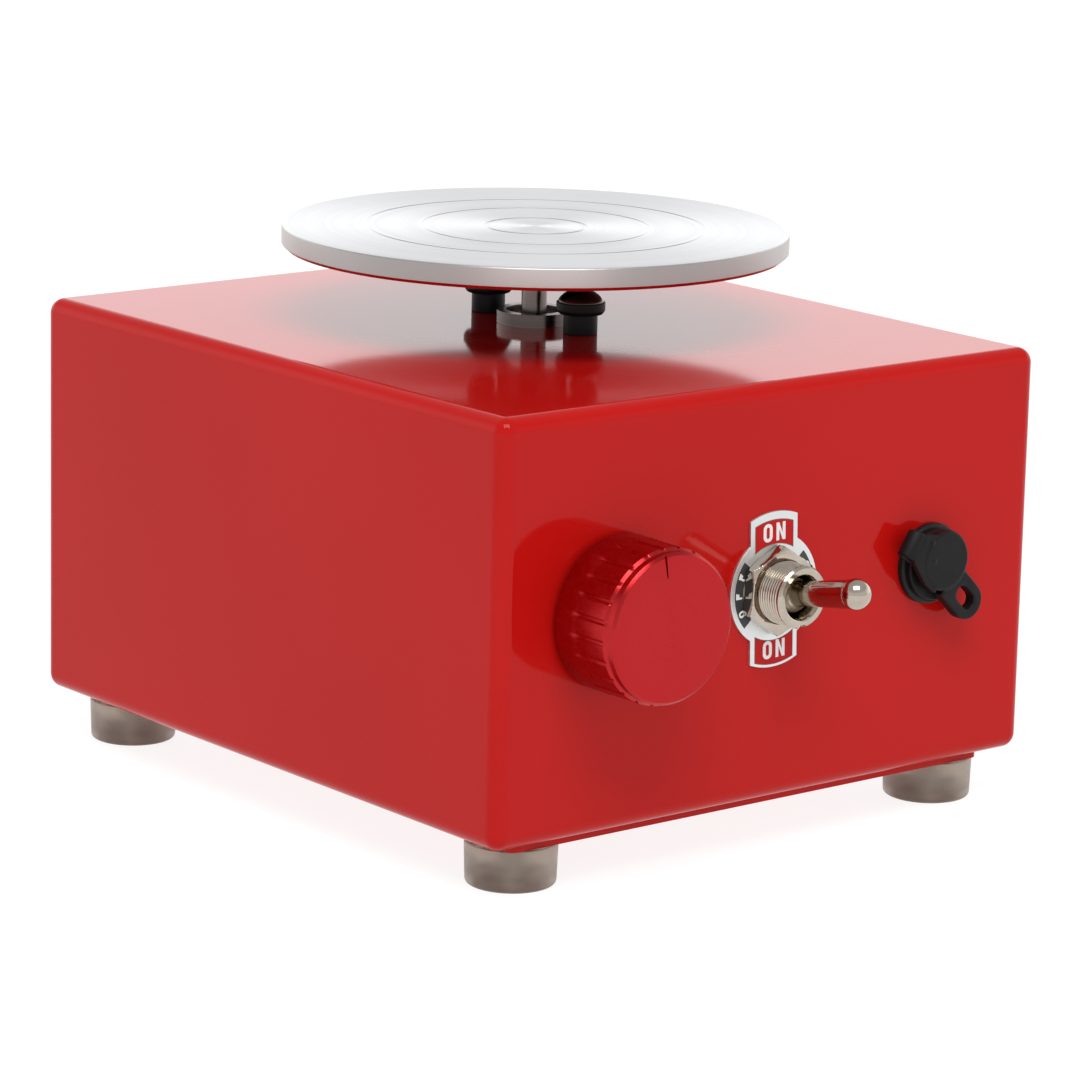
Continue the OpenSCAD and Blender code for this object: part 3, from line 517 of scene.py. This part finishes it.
def body_shell():
    low, high = shell_low / MM, shell_high / MM
    size, middle = high - low, (low + high) / 2
    shell = round_block("shell", size, middle, EDGE)
    hollow = round_block("hollow", size - Vector((2, 2, 2)) * SHEET, middle, EDGE - SHEET, 3)
    open_x = size.x / 2 - SHEET - FLANGE
    open_y = size.y / 2 - SHEET - FLANGE
    mouth = rectangle(open_x, open_y, EDGE)
    cutters = [hollow, prism("mouth", [mouth], low.z - SPARE, low.z + SHEET + SPARE)]

    def drill(radius, x, y, from_z, to_z, place=None):
        spot = Matrix.Translation((x * MM, y * MM, 0))
        outline = [(0, from_z), (radius, from_z), (radius, to_z), (0, to_z)]
        cutters.append(lathe("drill", outline, (place or Matrix()) @ spot, 64))

    deck = (high.z - SHEET - SPARE, high.z + SPARE)
    drill(BOSS_HOLE, 0, 0, *deck)
    screw_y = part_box("motor_screws")[1].y / MM - SCREW_COLLAR_R
    for side in (-1, 1):
        drill(SLEEVE_BORE, 0, side * screw_y, *deck)
        for end in (-1, 1):
            foot = node_middle("foot_front_left") / MM
            drill(RIVET_HOLE, side * foot.x, end * foot.y, low.z - SPARE, low.z + SHEET + SPARE)
    panel = (-SHEET - SPARE, SPARE)
    drill(KNOB_HOLE, 0, 0, *panel, knob_frame)
    drill(SWITCH_HOLE, 0, 0, *panel, switch_frame)
    drill(JACK_HOLE, 0, 0, *panel, jack_frame)
    combine(shell, cutters, "DIFFERENCE")
    weigh_normals(shell)
    dress(shell, "root", "red_paint", "body_shell")


def bottom_plate():
    low, high = (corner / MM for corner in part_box("bottom_plate"))
    edge = rectangle(high.x, high.y, 2)
    holes = []
    washer, standoff = 4.4, 5.5
    for node, radius, inset_x, inset_y in (
            ("foot_washers", FOOT_BORE, washer, washer),
            ("board_standoffs", 1.6, standoff / math.sqrt(3), standoff / 2)):
        first, last = (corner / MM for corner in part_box(node))
        for cx in (first.x + inset_x, last.x - inset_x):
            for cy in (first.y + inset_y, last.y - inset_y):
                holes.append(circle(radius, 32, (cx, cy)))
    plate = prism("plate", [edge] + holes, low.z, high.z, bevel=0.3)
    weigh_normals(plate)
    dress(plate, "root", "red_paint", "bottom_plate")


def feet():
    for node in ("foot_front_left", "foot_front_right", "foot_rear_left", "foot_rear_right"):
        low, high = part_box(node)
        top_r, tall = (high.x - low.x) / 2 / MM, high.z / MM
        low_r = top_r - 0.25
        outline = fillet([(FOOT_BORE, 3.5), (FOOT_POCKET, 3.5, 0.3), (FOOT_POCKET, 0, 0.4),
                          (low_r, 0, 0.9), (top_r, tall, 0.35), (FOOT_BORE, tall)])
        middle = (low + high) / 2
        foot = lathe(node + "_moulding", outline, Matrix.Translation((middle.x, middle.y, 0)))
        dress(foot, "root", "foot_rubber", node)


# ---------------------------------------------------------------- turntable and motor

RINGS = (10, 22.5, 33.5)
RING_TOP, RING_FLOOR, RING_DEPTH = 0.34, 0.12, 0.14


def turntable():
    low, high = (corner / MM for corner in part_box("turntable_disc"))
    r, tall = high.x, high.z - low.z
    top = [(0, tall)]
    for ring in RINGS:
        top += fillet([(ring - RING_TOP, tall, 0.06), (ring - RING_FLOOR, tall - RING_DEPTH, 0.08),
                       (ring + RING_FLOOR, tall - RING_DEPTH, 0.08), (ring + RING_TOP, tall, 0.06)],
                      closed=False, steps=3)
    rim = fillet([(r - 2, tall), (r, tall, 0.35), (r, 0.7, 0.15), (r - 0.7, 0, 0.15), (0, 0)],
                 closed=False, steps=5)
    disc = lathe("disc", top + rim, Matrix.Translation((0, 0, low.z * MM)), 256, sharp_deg=30)
    dress(disc, "wheel", "spun_aluminium", "turntable_disc")
    disc.data.materials.append(MATERIALS["turned_rim"])
    disc.data.materials.append(MATERIALS["polished_edge"])
    # The underside and the outer side take the darker turned_rim, which is painted shade; the lower chamfer of the
    # rim takes polished_edge.
    for face in disc.data.polygons:
        outer = face.center.xy.length > (r - 1) * MM
        if outer and -0.9 < face.normal.z < -0.5:
            face.material_index = 2
        elif face.normal.z < -0.5 or (outer and face.normal.z < 0.5):
            face.material_index = 1


def shaft():
    low, high = (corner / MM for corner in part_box("motor_shaft"))
    r = high.x
    outline = fillet([(0, low.z), (r, low.z, 0.3), (r, high.z, 0.3), (0, high.z)])
    dress(lathe("spindle", outline, segments=64), "wheel", "motor_steel", "motor_shaft")


def motor_fixings():
    """Domed screws on their spacers, either side of the shaft."""
    low, high = (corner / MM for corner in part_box("motor_spacers"))
    outer, dome_r, shank_low = 3.35, 4.5, 85
    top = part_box("motor_screws")[1].z / MM
    for side, label in ((-1, "front"), (1, "rear")):
        first = side < 0
        place = Matrix.Translation((0, side * (high.y - outer) * MM, 0))
        sleeve = fillet([(SLEEVE_BORE, low.z), (outer, low.z, 0.15), (outer, high.z, 0.15),
                         (SLEEVE_BORE, high.z)])
        spacer = lathe("spacer_" + label, sleeve, place, 96)
        dress(spacer, "root", "black_plastic", *(["motor_spacers"] if first else []))
        band = fillet([(2.3, high.z), (4.3, high.z, 0.2), (SCREW_COLLAR_R, high.z + 0.7, 0.4),
                       (SCREW_COLLAR_R, high.z + 2.3, 0.2), (4.45, high.z + 2.42, 0.1),
                       (2.3, high.z + 2.42)])
        collar = lathe("screw_collar_" + label, band, place, 96)
        dress(collar, "root", "black_plastic")
        crown = high.z + 2.3
        tall = top - crown
        dome = [(dome_r * math.cos(a), crown + tall * (math.sin(a) ** 1.15))
                for a in (math.pi / 2 * k / 14 for k in range(15)) if dome_r * math.cos(a) > 1.5]
        head = [(0, shank_low), (2.0, shank_low), (2.0, high.z + 0.4), (dome_r, high.z + 1.2)]
        head += dome + [(1.45, top - 1.7), (0, top - 1.7)]
        screw = lathe("screw_" + label, head, place, 96)
        dress(screw, "root", "black_steel", *(["motor_screws"] if first else []))


# ---------------------------------------------------------------- speed knob

KNOB_FLUTES = 24
FLUTE_DEG = 4.5
FLUTE_DEPTH = 0.28
FLUTE_HALF = 0.5
NOTCH_DEG = 9.5
SHAFT_BORE = 3.05
KNOB_SHARP_DEG = 26


def speed_knob():
    low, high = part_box("speed_knob")
    r = (high.x - low.x) / 2 / MM
    face = (panel_y - low.y) / MM
    back = (panel_y - high.y) / MM
    flute_low = back + 4.4
    shoulder = face - 1.9
    face_r = r - 0.6

    def fluted(radius, height, angle):
        """Axial grooves between the plain skirt and the shoulder."""
        if radius < face_r + 0.05 or height < flute_low or height > shoulder + 0.02:
            return radius
        pitch = 2 * math.pi / KNOB_FLUTES
        off = abs((angle - math.radians(FLUTE_DEG) + pitch / 2) % pitch - pitch / 2) * r
        ease = min(1, max(0, (height - flute_low) / 1.8))
        ease = ease * ease * (3 - 2 * ease)
        ridge = r - 0.10 * ease
        depth = FLUTE_DEPTH * max(0, 1 - (off / FLUTE_HALF) ** 2) ** 0.5
        return min(radius, ridge - depth * ease)

    side = [(r, flute_low + k * (shoulder - 0.7 - flute_low) / 14) for k in range(15)]
    outline = [(SHAFT_BORE, back + 5), (8, back + 5), (8, back)]
    outline += fillet([(8, back), (r, back, 0.35), (r, flute_low)], closed=False)[1:-1]
    outline += side
    outline += fillet([(r, shoulder - 0.7), (r, shoulder - 0.55, 0.08), (face_r, shoulder, 0.1),
                       (face_r, face - 0.5, 0.08), (face_r - 0.55, face, 0.12), (9, face)],
                      closed=False, steps=3)[1:]
    outline += [(4, face), (0, face), (0, face - 3), (SHAFT_BORE, face - 3)]
    knob = lathe("knob", outline, knob_frame, KNOB_FLUTES * 24, fluted, KNOB_SHARP_DEG)
    wedge = [(-0.12, face_r - 4.4), (0.12, face_r - 4.4), (0.36, r + 1), (-0.36, r + 1)]
    notch = prism("notch", [wedge], face - 0.45, face + 1,
                  knob_frame @ Matrix.Rotation(math.radians(NOTCH_DEG), 4, "Z"))
    sideways = Matrix.Translation((0, 0, 9 * MM)) @ Matrix.Rotation(math.pi / 2, 4, "Y")
    grub_hole = lathe("grub_hole", [(0, 0), (1.55, 0), (1.55, 20), (0, 20)],
                      knob_frame @ sideways, 32)
    combine(knob, [notch, grub_hole], "DIFFERENCE")
    knob.data.set_sharp_from_angle(angle=math.radians(KNOB_SHARP_DEG))
    dress(knob, "knob", "red_anodised", "speed_knob")
    # The side faces take the slightly lighter anodised_side, which is painted light on the knob's side.
    knob.data.materials.append(MATERIALS["anodised_side"])
    for face in knob.data.polygons:
        if abs(face.normal.z) < 0.7:
            face.material_index = 1


# ---------------------------------------------------------------- toggle switch

THREAD_R = 6.0
THREAD_PITCH = 0.65
THREAD_DEPTH = 0.36
BOWL_R = 4.1
YOKE_LOW, YOKE_HIGH = -5.5, -4.5
NUT_FLATS = 15
NUT_CHAMFER = 0.6
LEGEND_TURN = Matrix.Rotation(math.radians(2), 4, "Z")


def hexagon(flats, angle):
    """Distance from the middle of a hexagon to its edge, in that direction."""
    sixth = math.pi / 3
    return flats / 2 / math.cos((angle + sixth / 2) % sixth - sixth / 2)


def switch_nut():
    """Nut with turned chamfers on both faces, drawn finely enough for crisp corners."""
    box_low, box_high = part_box("switch_front_nut")
    low, high = (panel_y - box_high.y) / MM, (panel_y - box_low.y) / MM
    bore = THREAD_R + 0.02
    corner = NUT_FLATS / math.sqrt(3)
    face_r = NUT_FLATS / 2 * 0.985
    side = [(corner, low + (high - low) * k / 24) for k in range(25)]
    outline = fillet([(bore, low), (bore, high, 0.25), (face_r, high)], closed=False, steps=4)
    outline += side[::-1] + [(face_r, low)]

    def shape(radius, height, angle):
        if radius < corner - 1e-6:
            return radius
        edge = min(height - low, high - height)
        cone = face_r + (corner - face_r) * min(1, edge / NUT_CHAMFER) ** 0.8
        return min(hexagon(NUT_FLATS, angle), cone)

    place = switch_frame @ Matrix.Rotation(math.radians(-3), 4, "Z")
    nut = lathe("front_nut", outline, place, 360, shape, 24)
    dress(nut, "root", "nickel", "switch_front_nut")


def switch_bushing():
    """Bushing with grooves for its thread, a keyway, and a hollow that the lever swings in."""
    out = (panel_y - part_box("switch_bushing")[0].y) / MM
    last_ridge = out - 0.8
    turns = int((out - 0.9 - YOKE_HIGH) / THREAD_PITCH)

    def keyed(radius, height, angle):
        in_keyway = abs(angle - 1.5 * math.pi) < 0.15
        return min(radius, THREAD_R - 0.75) if in_keyway else radius

    side = []
    for k in range(turns):
        ridge = last_ridge - (turns - k) * THREAD_PITCH
        side += [(THREAD_R, ridge), (THREAD_R, ridge + 0.08),
                 (THREAD_R - THREAD_DEPTH, ridge + 0.34), (THREAD_R - THREAD_DEPTH, ridge + 0.39)]
    side += [(THREAD_R, last_ridge), (THREAD_R, out - 0.5)]
    lip = fillet([(THREAD_R, out - 0.5), (THREAD_R - 0.4, out, 0.25), (BOWL_R + 0.35, out, 0.3),
                  (BOWL_R, out - 0.8, 0.5), (BOWL_R - 0.22, out - 3.2, 0.5),
                  (BOWL_R - 0.22, YOKE_LOW)], closed=False, steps=4)
    barrel = lathe("bushing", side + lip[1:] + [(THREAD_R, YOKE_LOW)], switch_frame, 288, keyed, 28)
    yoke = prism("yoke", [rectangle(9, 16.5, 1), circle(THREAD_R - 0.2, 48)], YOKE_LOW, YOKE_HIGH,
                 switch_frame, bevel=0.2)
    dress(barrel, "root", "nickel", "switch_bushing")
    dress(yoke, "root", "nickel")


def toggle_lever():
    """Bat lever: a pivot ball, a slim neck and a swelling arm with a round end."""
    tilt = math.radians(11)
    reach = 18.5
    ball_r, tip_r, tail = 3.75, 2.95, -14.75
    place = panel_frame(lever_at.x, lever_at.z) @ Matrix.Translation((0, 0, panel_y - lever_at.y))
    place = place @ Matrix.Rotation(-tilt, 4, "X")
    ball = [(ball_r * math.sin(math.radians(a)), ball_r * math.cos(math.radians(a)))
            for a in range(158, 38, -6)]
    arm = fillet([(2.35, 3.1), (2.35, 5.2, 2.0), (2.5, 9, 8), (2.78, reach - 1.0)], closed=False)
    tip_start = math.degrees(math.acos(-0.98 / tip_r))
    tip = [(tip_r * math.sin(math.radians(a)), reach + tip_r * math.cos(math.radians(a)))
           for a in (tip_start * (1 - k / 22) for k in range(23))]
    tip[-1] = (0, reach + tip_r)
    outline = [(0, tail), (1.4, tail)] + ball + arm + tip
    lever = lathe("lever", outline, place, 128, sharp_deg=38)
    pin = lathe("cross_pin", fillet([(0, -5.3), (0.8, -5.3, 0.1), (0.8, 5.3, 0.1), (0, 5.3)]),
                place @ Matrix.Rotation(math.pi / 2, 4, "Y"), 48)
    for piece in (lever, pin):
        piece.data.transform(piece.matrix_world)
        piece.matrix_world = Matrix()
    dress(lever, "lever", "nickel", "toggle_lever")
    dress(pin, "lever", "nickel")


# ---------------------------------------------------------------- legend plate

LEGEND_RING = 10.8
LEGEND_TAB = 15.05
LEGEND_HALF = 5.85
PRINT = 0.03


def letter_o(wide, tall, stroke):
    bend = wide * 0.46
    outer = fillet([(0, 0, bend), (wide, 0, bend), (wide, tall, bend), (0, tall, bend)])
    a, b = stroke, wide - stroke
    c, d = stroke * 0.9, tall - stroke * 0.9
    bend = wide * 0.2
    inner = fillet([(a, c, bend), (b, c, bend), (b, d, bend), (a, d, bend)], steps=4)
    return [outer, inner]


def letter_n(wide, tall, stroke):
    right = wide - stroke
    return [[(0, 0), (stroke, 0), (stroke, tall * 0.62), (right, 0), (wide, 0), (wide, tall),
             (right, tall), (right, tall * 0.38), (stroke, tall), (0, tall)]]


def letter_f(wide, tall, stroke):
    mid, short, under = tall * 0.46, wide * 0.86, tall - stroke
    return [[(0, 0), (stroke, 0), (stroke, mid), (short, mid), (short, mid + stroke),
             (stroke, mid + stroke), (stroke, under), (wide, under), (wide, tall), (0, tall)]]


def straight_word(letters, left, base):
    """Outlines of the letters side by side on a straight base line. Each letter comes with
    its width and the gap after it."""
    out = []
    x = left
    for outline, wide, gap in letters:
        out.append([[(x + px, base + py) for px, py in ring] for ring in outline])
        x += wide + gap
    return out


def arc_word(letters, radius, middle_deg):
    """Outlines of the letters on a circle, clockwise, with their tops outwards."""
    total = sum(wide + gap for outline, wide, gap in letters) - letters[-1][2]
    out = []
    x = -total / 2
    for outline, wide, gap in letters:
        turn = math.radians(middle_deg) - (x + wide / 2) / radius
        up = (math.cos(turn), math.sin(turn))
        side = (up[1], -up[0])
        out.append([[(up[0] * (radius + py) + side[0] * (px - wide / 2),
                      up[1] * (radius + py) + side[1] * (px - wide / 2)) for px, py in ring]
                    for ring in outline])
        x += wide + gap
    return out


def tab_outline(ring, tab, half):
    """Ring with an arched tab above and below."""
    out = []
    for up in (1, -1):
        shoulder = math.degrees(math.acos(half / ring))
        corner = math.degrees(math.acos(half / tab))
        start = 0 if up > 0 else 180
        out += arc(ring, start, start + shoulder, 10)
        out += arc(tab, start + corner, start + 180 - corner, 16)
        out += arc(ring, start + 180 - shoulder, start + 180, 10)[:-1]
    return out


def field_outline(low, high, half, up):
    """Printed field between two arcs, above or below the middle."""
    inner = math.degrees(math.asin(half / low))
    outer = math.degrees(math.asin(half / high))
    ring = arc(high, 90 - outer, 90 + outer, 12) + arc(low, 90 + inner, 90 - inner, 12)
    return ring if up > 0 else [(-x, -y) for x, y in ring]


def printed(name, outlines, level, material):
    """Thin layers of one ink, joined into one piece."""
    place = switch_frame @ LEGEND_TURN
    parts = [prism(name, rings, level, level + PRINT, place) for rings in outlines]
    merged = bmesh.new()
    for part in parts:
        merged.from_mesh(part.data)
        if part is not parts[0]:
            bpy.data.objects.remove(part)
    merged.to_mesh(parts[0].data)
    merged.free()
    dress(parts[0], "root", "legend_silver", material=material)


def legend_plate():
    top = (panel_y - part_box("legend_plate")[0].y) / MM
    place = switch_frame @ LEGEND_TURN
    plate = prism("legend", [tab_outline(LEGEND_RING, LEGEND_TAB, LEGEND_HALF),
                             circle(SWITCH_HOLE, 64)], 0, top, place, bevel=0.12)
    weigh_normals(plate)
    dress(plate, "root", "legend_silver", "legend_plate")
    for name, grow, level, ink in (("legend_border", 0.13, top, INK_GREY),
                                   ("legend_fields", 0, top + PRINT, INK_RED)):
        fields = [field_outline(9.4 - grow, 13.9 + grow, 4.65 + grow, up) for up in (1, -1)]
        printed(name, [[[(x, y - 0.5) for x, y in field]] for field in fields], level, ink)
    bands = [[arc(9.75, mid - 41, mid + 41, 30) + arc(7.7, mid + 41, mid - 41, 30)]
             for mid in (0, 180)]
    printed("legend_bands", bands, top, INK_BLACK)
    on_word = [(letter_o(2.25, 3.5, 0.72), 2.25, 0.95), (letter_n(2.25, 3.45, 0.7), 2.25, 0)]
    letters = straight_word(on_word, -2.75, 9.35) + straight_word(on_word, -2.75, -13.3)
    off_word = [(letter_o(1.3, 1.5, 0.4), 1.3, 2.1), (letter_f(1.15, 1.5, 0.38), 1.15, 2.2),
                (letter_f(1.15, 1.5, 0.38), 1.15, 0)]
    letters += arc_word(off_word, 8.0, 180) + arc_word(off_word, 8.0, 0)
    printed("legend_letters", letters, top + 2 * PRINT, INK_WHITE)


# ---------------------------------------------------------------- power socket

STRAP_DEG = 147
LOOP_DEG = -45
FOLD_REACH = 11
STRAP_W = 5.6
STRAP_T = 1.2


def socket_body():
    """Round body behind the panel, with a flange and a nose in front of it."""
    back, floor_z, bore = -13.5, -9.5, 3.2
    body_r, flange_r, nose_r = 5.5, 7.9, 4.9
    outline = fillet([(0, back), (body_r, back, 0.3), (body_r, 0), (flange_r, 0, 0.1),
                      (flange_r, 1.5, 0.6), (nose_r, 1.5), (nose_r, 3.0, 0.3), (bore, 3.0, 0.3),
                      (bore, floor_z), (0, floor_z)])
    dress(lathe("socket", outline, jack_frame), "root", "black_plastic", "jack_body")


def cap_collar():
    """Ring of the rubber strap, which sits round the socket's nose."""
    outline = fillet([(5.0, 1.5, 0.1), (7.0, 1.5, 0.15), (7.0, 2.7, 0.4), (5.0, 2.7, 0.2)])
    dress(lathe("cap_collar", outline, jack_frame, 128), "root", "black_rubber", "cap_strap")


def strap():
    """Flat strap that leaves the collar, folds forward and runs back to the cap."""
    low_z, high_z = 2.1, 5.0
    bend = (high_z - low_z) / 2
    start_u, turn_u = 5.3, FOLD_REACH - bend - STRAP_T / 2
    line = [(start_u + (turn_u - start_u) * k / 5, low_z) for k in range(5)]
    line += arc(bend, -90, 90, 18, (turn_u, low_z + bend))
    line += [(turn_u - (turn_u - 4.4) * k / 6, high_z) for k in range(1, 7)]
    section = rectangle(STRAP_W / 2, STRAP_T / 2, 0.55, 5)
    bm = bmesh.new()
    rings = []
    for i, (u, z) in enumerate(line):
        before, after = line[max(i - 1, 0)], line[min(i + 1, len(line) - 1)]
        along = Vector((after[0] - before[0], after[1] - before[1])).normalized()
        normal = Vector((-along.y, along.x))
        rings.append([bm.verts.new((u + normal.x * t, w, z + normal.y * t)) for w, t in section])
    count = len(section)
    for near, far in zip(rings, rings[1:]):
        for i in range(count):
            j = (i + 1) % count
            bm.faces.new((near[i], near[j], far[j], far[i]))
    bm.faces.new(rings[0])
    bm.faces.new(rings[-1][::-1])
    place = jack_frame @ Matrix.Rotation(math.radians(STRAP_DEG), 4, "Z")
    band = new_piece("cap_strap_band", mesh_of("cap_strap_band", bm), place)
    band.data.materials.append(MATERIALS["black_rubber"])
    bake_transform(band)


def cap():
    """Soft moulded cap: a disc, a hollow plug and a pull loop in one piece."""
    disc = lathe("cap_moulding", fillet([(0, 3.4), (5.95, 3.4, 0.4), (5.95, 5.75, 0.7), (0, 5.75)]),
                 jack_frame @ Matrix.Translation((-0.4 * MM, 1.4 * MM, 0)), 96)
    aside = jack_frame @ Matrix.Translation((-0.6 * MM, -0.6 * MM, 0))
    turn = aside @ Matrix.Rotation(math.radians(LOOP_DEG), 4, "Z")
    tab = arc(3.7, -90, 90, 20, (9.7, 0)) + [(3, 3.7), (3, -3.7)]
    eye = arc(1.6, -90, 90, 12, (9.7, 0)) + arc(1.6, 90, 270, 12, (7.5, 0))
    loop = prism("loop", [tab, eye], 2.8, 5.3, turn, bevel=0.3)
    half = STRAP_W / 2
    root = prism("strap_root", [[(0, -half - 2.8), (3.4, -half - 2.5), (8.9, -half - 0.1),
                                 (8.9, half + 0.1), (3.4, half + 2.5), (0, half + 2.8)]],
                 4.3, 5.65, jack_frame @ Matrix.Rotation(math.radians(STRAP_DEG), 4, "Z"))
    plug = lathe("plug", [(1.8, 1.0), (2.55, 1.0), (2.9, 3.8), (1.8, 3.8)], jack_frame, 64)
    nub = fillet([(0, 5.4), (0.45, 5.4), (0.45, 5.9, 0.2), (0, 5.9)])
    nubs = [lathe("nub", nub, jack_frame @ Matrix.Translation((x * MM, y * MM, 0)), 24)
            for x, y in ((-4.2, 5.4), (-3.6, 1.8))]
    combine(disc, [loop, root, plug] + nubs, "UNION")
    remelt(disc, 0.16, 6)
    dress(disc, "cap", "black_rubber", "jack_cap")


# ---------------------------------------------------------------- CAD nodes that stay

def dress_cad_nodes():
    """Every CAD node that still shows gets the finish of its own slot."""
    for name, node in frame["nodes"].items():
        node.data.materials.clear()
        node.data.materials.append(MATERIALS[SLOT_OF[name]])
        node.data.shade_smooth()
        node.data.set_sharp_from_angle(angle=math.radians(30))


# ---------------------------------------------------------------- stage

AZIMUTH = math.radians(-39.26)
ELEVATION = math.radians(12.88)
ROLL = math.radians(1.33)
DISTANCE = 0.95082
TARGET = Vector((0, 0, 0.060))
PAN = (0.00195, -0.01331)
LENS = 159.13
BACKDROP = 1.65                 # brightness of the room behind the object
CEILING = 0.6
BEHIND = (0.62, 0.78, 0)        # direction in which the backdrop stands


def camera():
    """Long lens at the angle where the controls and the deck both show."""
    flat = math.cos(ELEVATION)
    back = Vector((math.sin(AZIMUTH) * flat, -math.cos(AZIMUTH) * flat, math.sin(ELEVATION)))
    level = Vector((0, 0, 1)).cross(back).normalized()
    rise = back.cross(level)
    right = math.cos(ROLL) * level + math.sin(ROLL) * rise
    up = math.cos(ROLL) * rise - math.sin(ROLL) * level
    lens = bpy.data.cameras.new("camera")
    lens.lens = LENS
    lens.sensor_width = 36
    lens.clip_end = 50
    view = bpy.data.objects.new("camera", lens)
    bpy.context.scene.collection.objects.link(view)
    place = Matrix((right, up, back)).transposed().to_4x4()
    place.translation = TARGET + back * DISTANCE + right * PAN[0] + up * PAN[1]
    view.matrix_world = place
    bpy.context.scene.camera = view


def floor():
    """Plain pale floor that runs out of sight."""
    bm = bmesh.new()
    bmesh.ops.create_grid(bm, x_segments=1, y_segments=1, size=8000)
    piece = new_piece("floor", mesh_of("floor", bm))
    white = principled("floor_white", Base_Color=(0.18, 0.18, 0.18, 1), Roughness=0.9,
                       Emission_Color=(1, 1, 1, 1), Emission_Strength=0.87)[0]
    piece.data.materials.append(white)


def softbox(name, at, aim, size, power):
    """Soft rectangular lamp, in metres and watts."""
    light = bpy.data.lights.new(name, "AREA")
    light.shape = "RECTANGLE"
    light.size, light.size_y = size
    light.energy = power
    lamp = bpy.data.objects.new(name, light)
    bpy.context.scene.collection.objects.link(lamp)
    lamp.location = at
    lamp.rotation_euler = (Vector(aim) - Vector(at)).to_track_quat("-Z", "Y").to_euler()


def studio():
    """Pale room: a bright backdrop behind the object and a dimmer ceiling."""
    world = bpy.data.worlds.new("studio")
    bpy.context.scene.world = world
    world.use_nodes = True
    graph = world.node_tree
    where = add(graph, "ShaderNodeTexCoord").outputs["Generated"]
    height = add(graph, "ShaderNodeSeparateXYZ", Vector=where).outputs["Z"]
    side = add(graph, "ShaderNodeVectorMath", {"operation": "DOT_PRODUCT"})
    graph.links.new(where, side.inputs[0])
    side.inputs[1].default_value = BEHIND
    behind = spread(graph, side.outputs["Value"], 0.25, 1.0, -0.3, 0.5)
    low = spread(graph, height, 1.0, 0.0, 0.30, 0.55)
    strength = spread(graph, sum_of(graph, "MULTIPLY", behind, low), CEILING, BACKDROP, 0.0, 1.0)
    graph.links.new(strength, graph.nodes["Background"].inputs["Strength"])
    graph.nodes["Background"].inputs["Color"].default_value = (1, 1, 1, 1)
    softbox("key", (-0.42, -0.66, 1.30), (0, 0, 0.05), (1.0, 0.7), 15)
    bpy.context.scene.view_settings.view_transform = "Standard"


camera()
floor()
studio()
dress_cad_nodes()
body_shell()
bottom_plate()
feet()
turntable()
shaft()
motor_fixings()
speed_knob()
legend_plate()
switch_nut()
switch_bushing()
toggle_lever()
socket_body()
cap_collar()
strap()
cap()
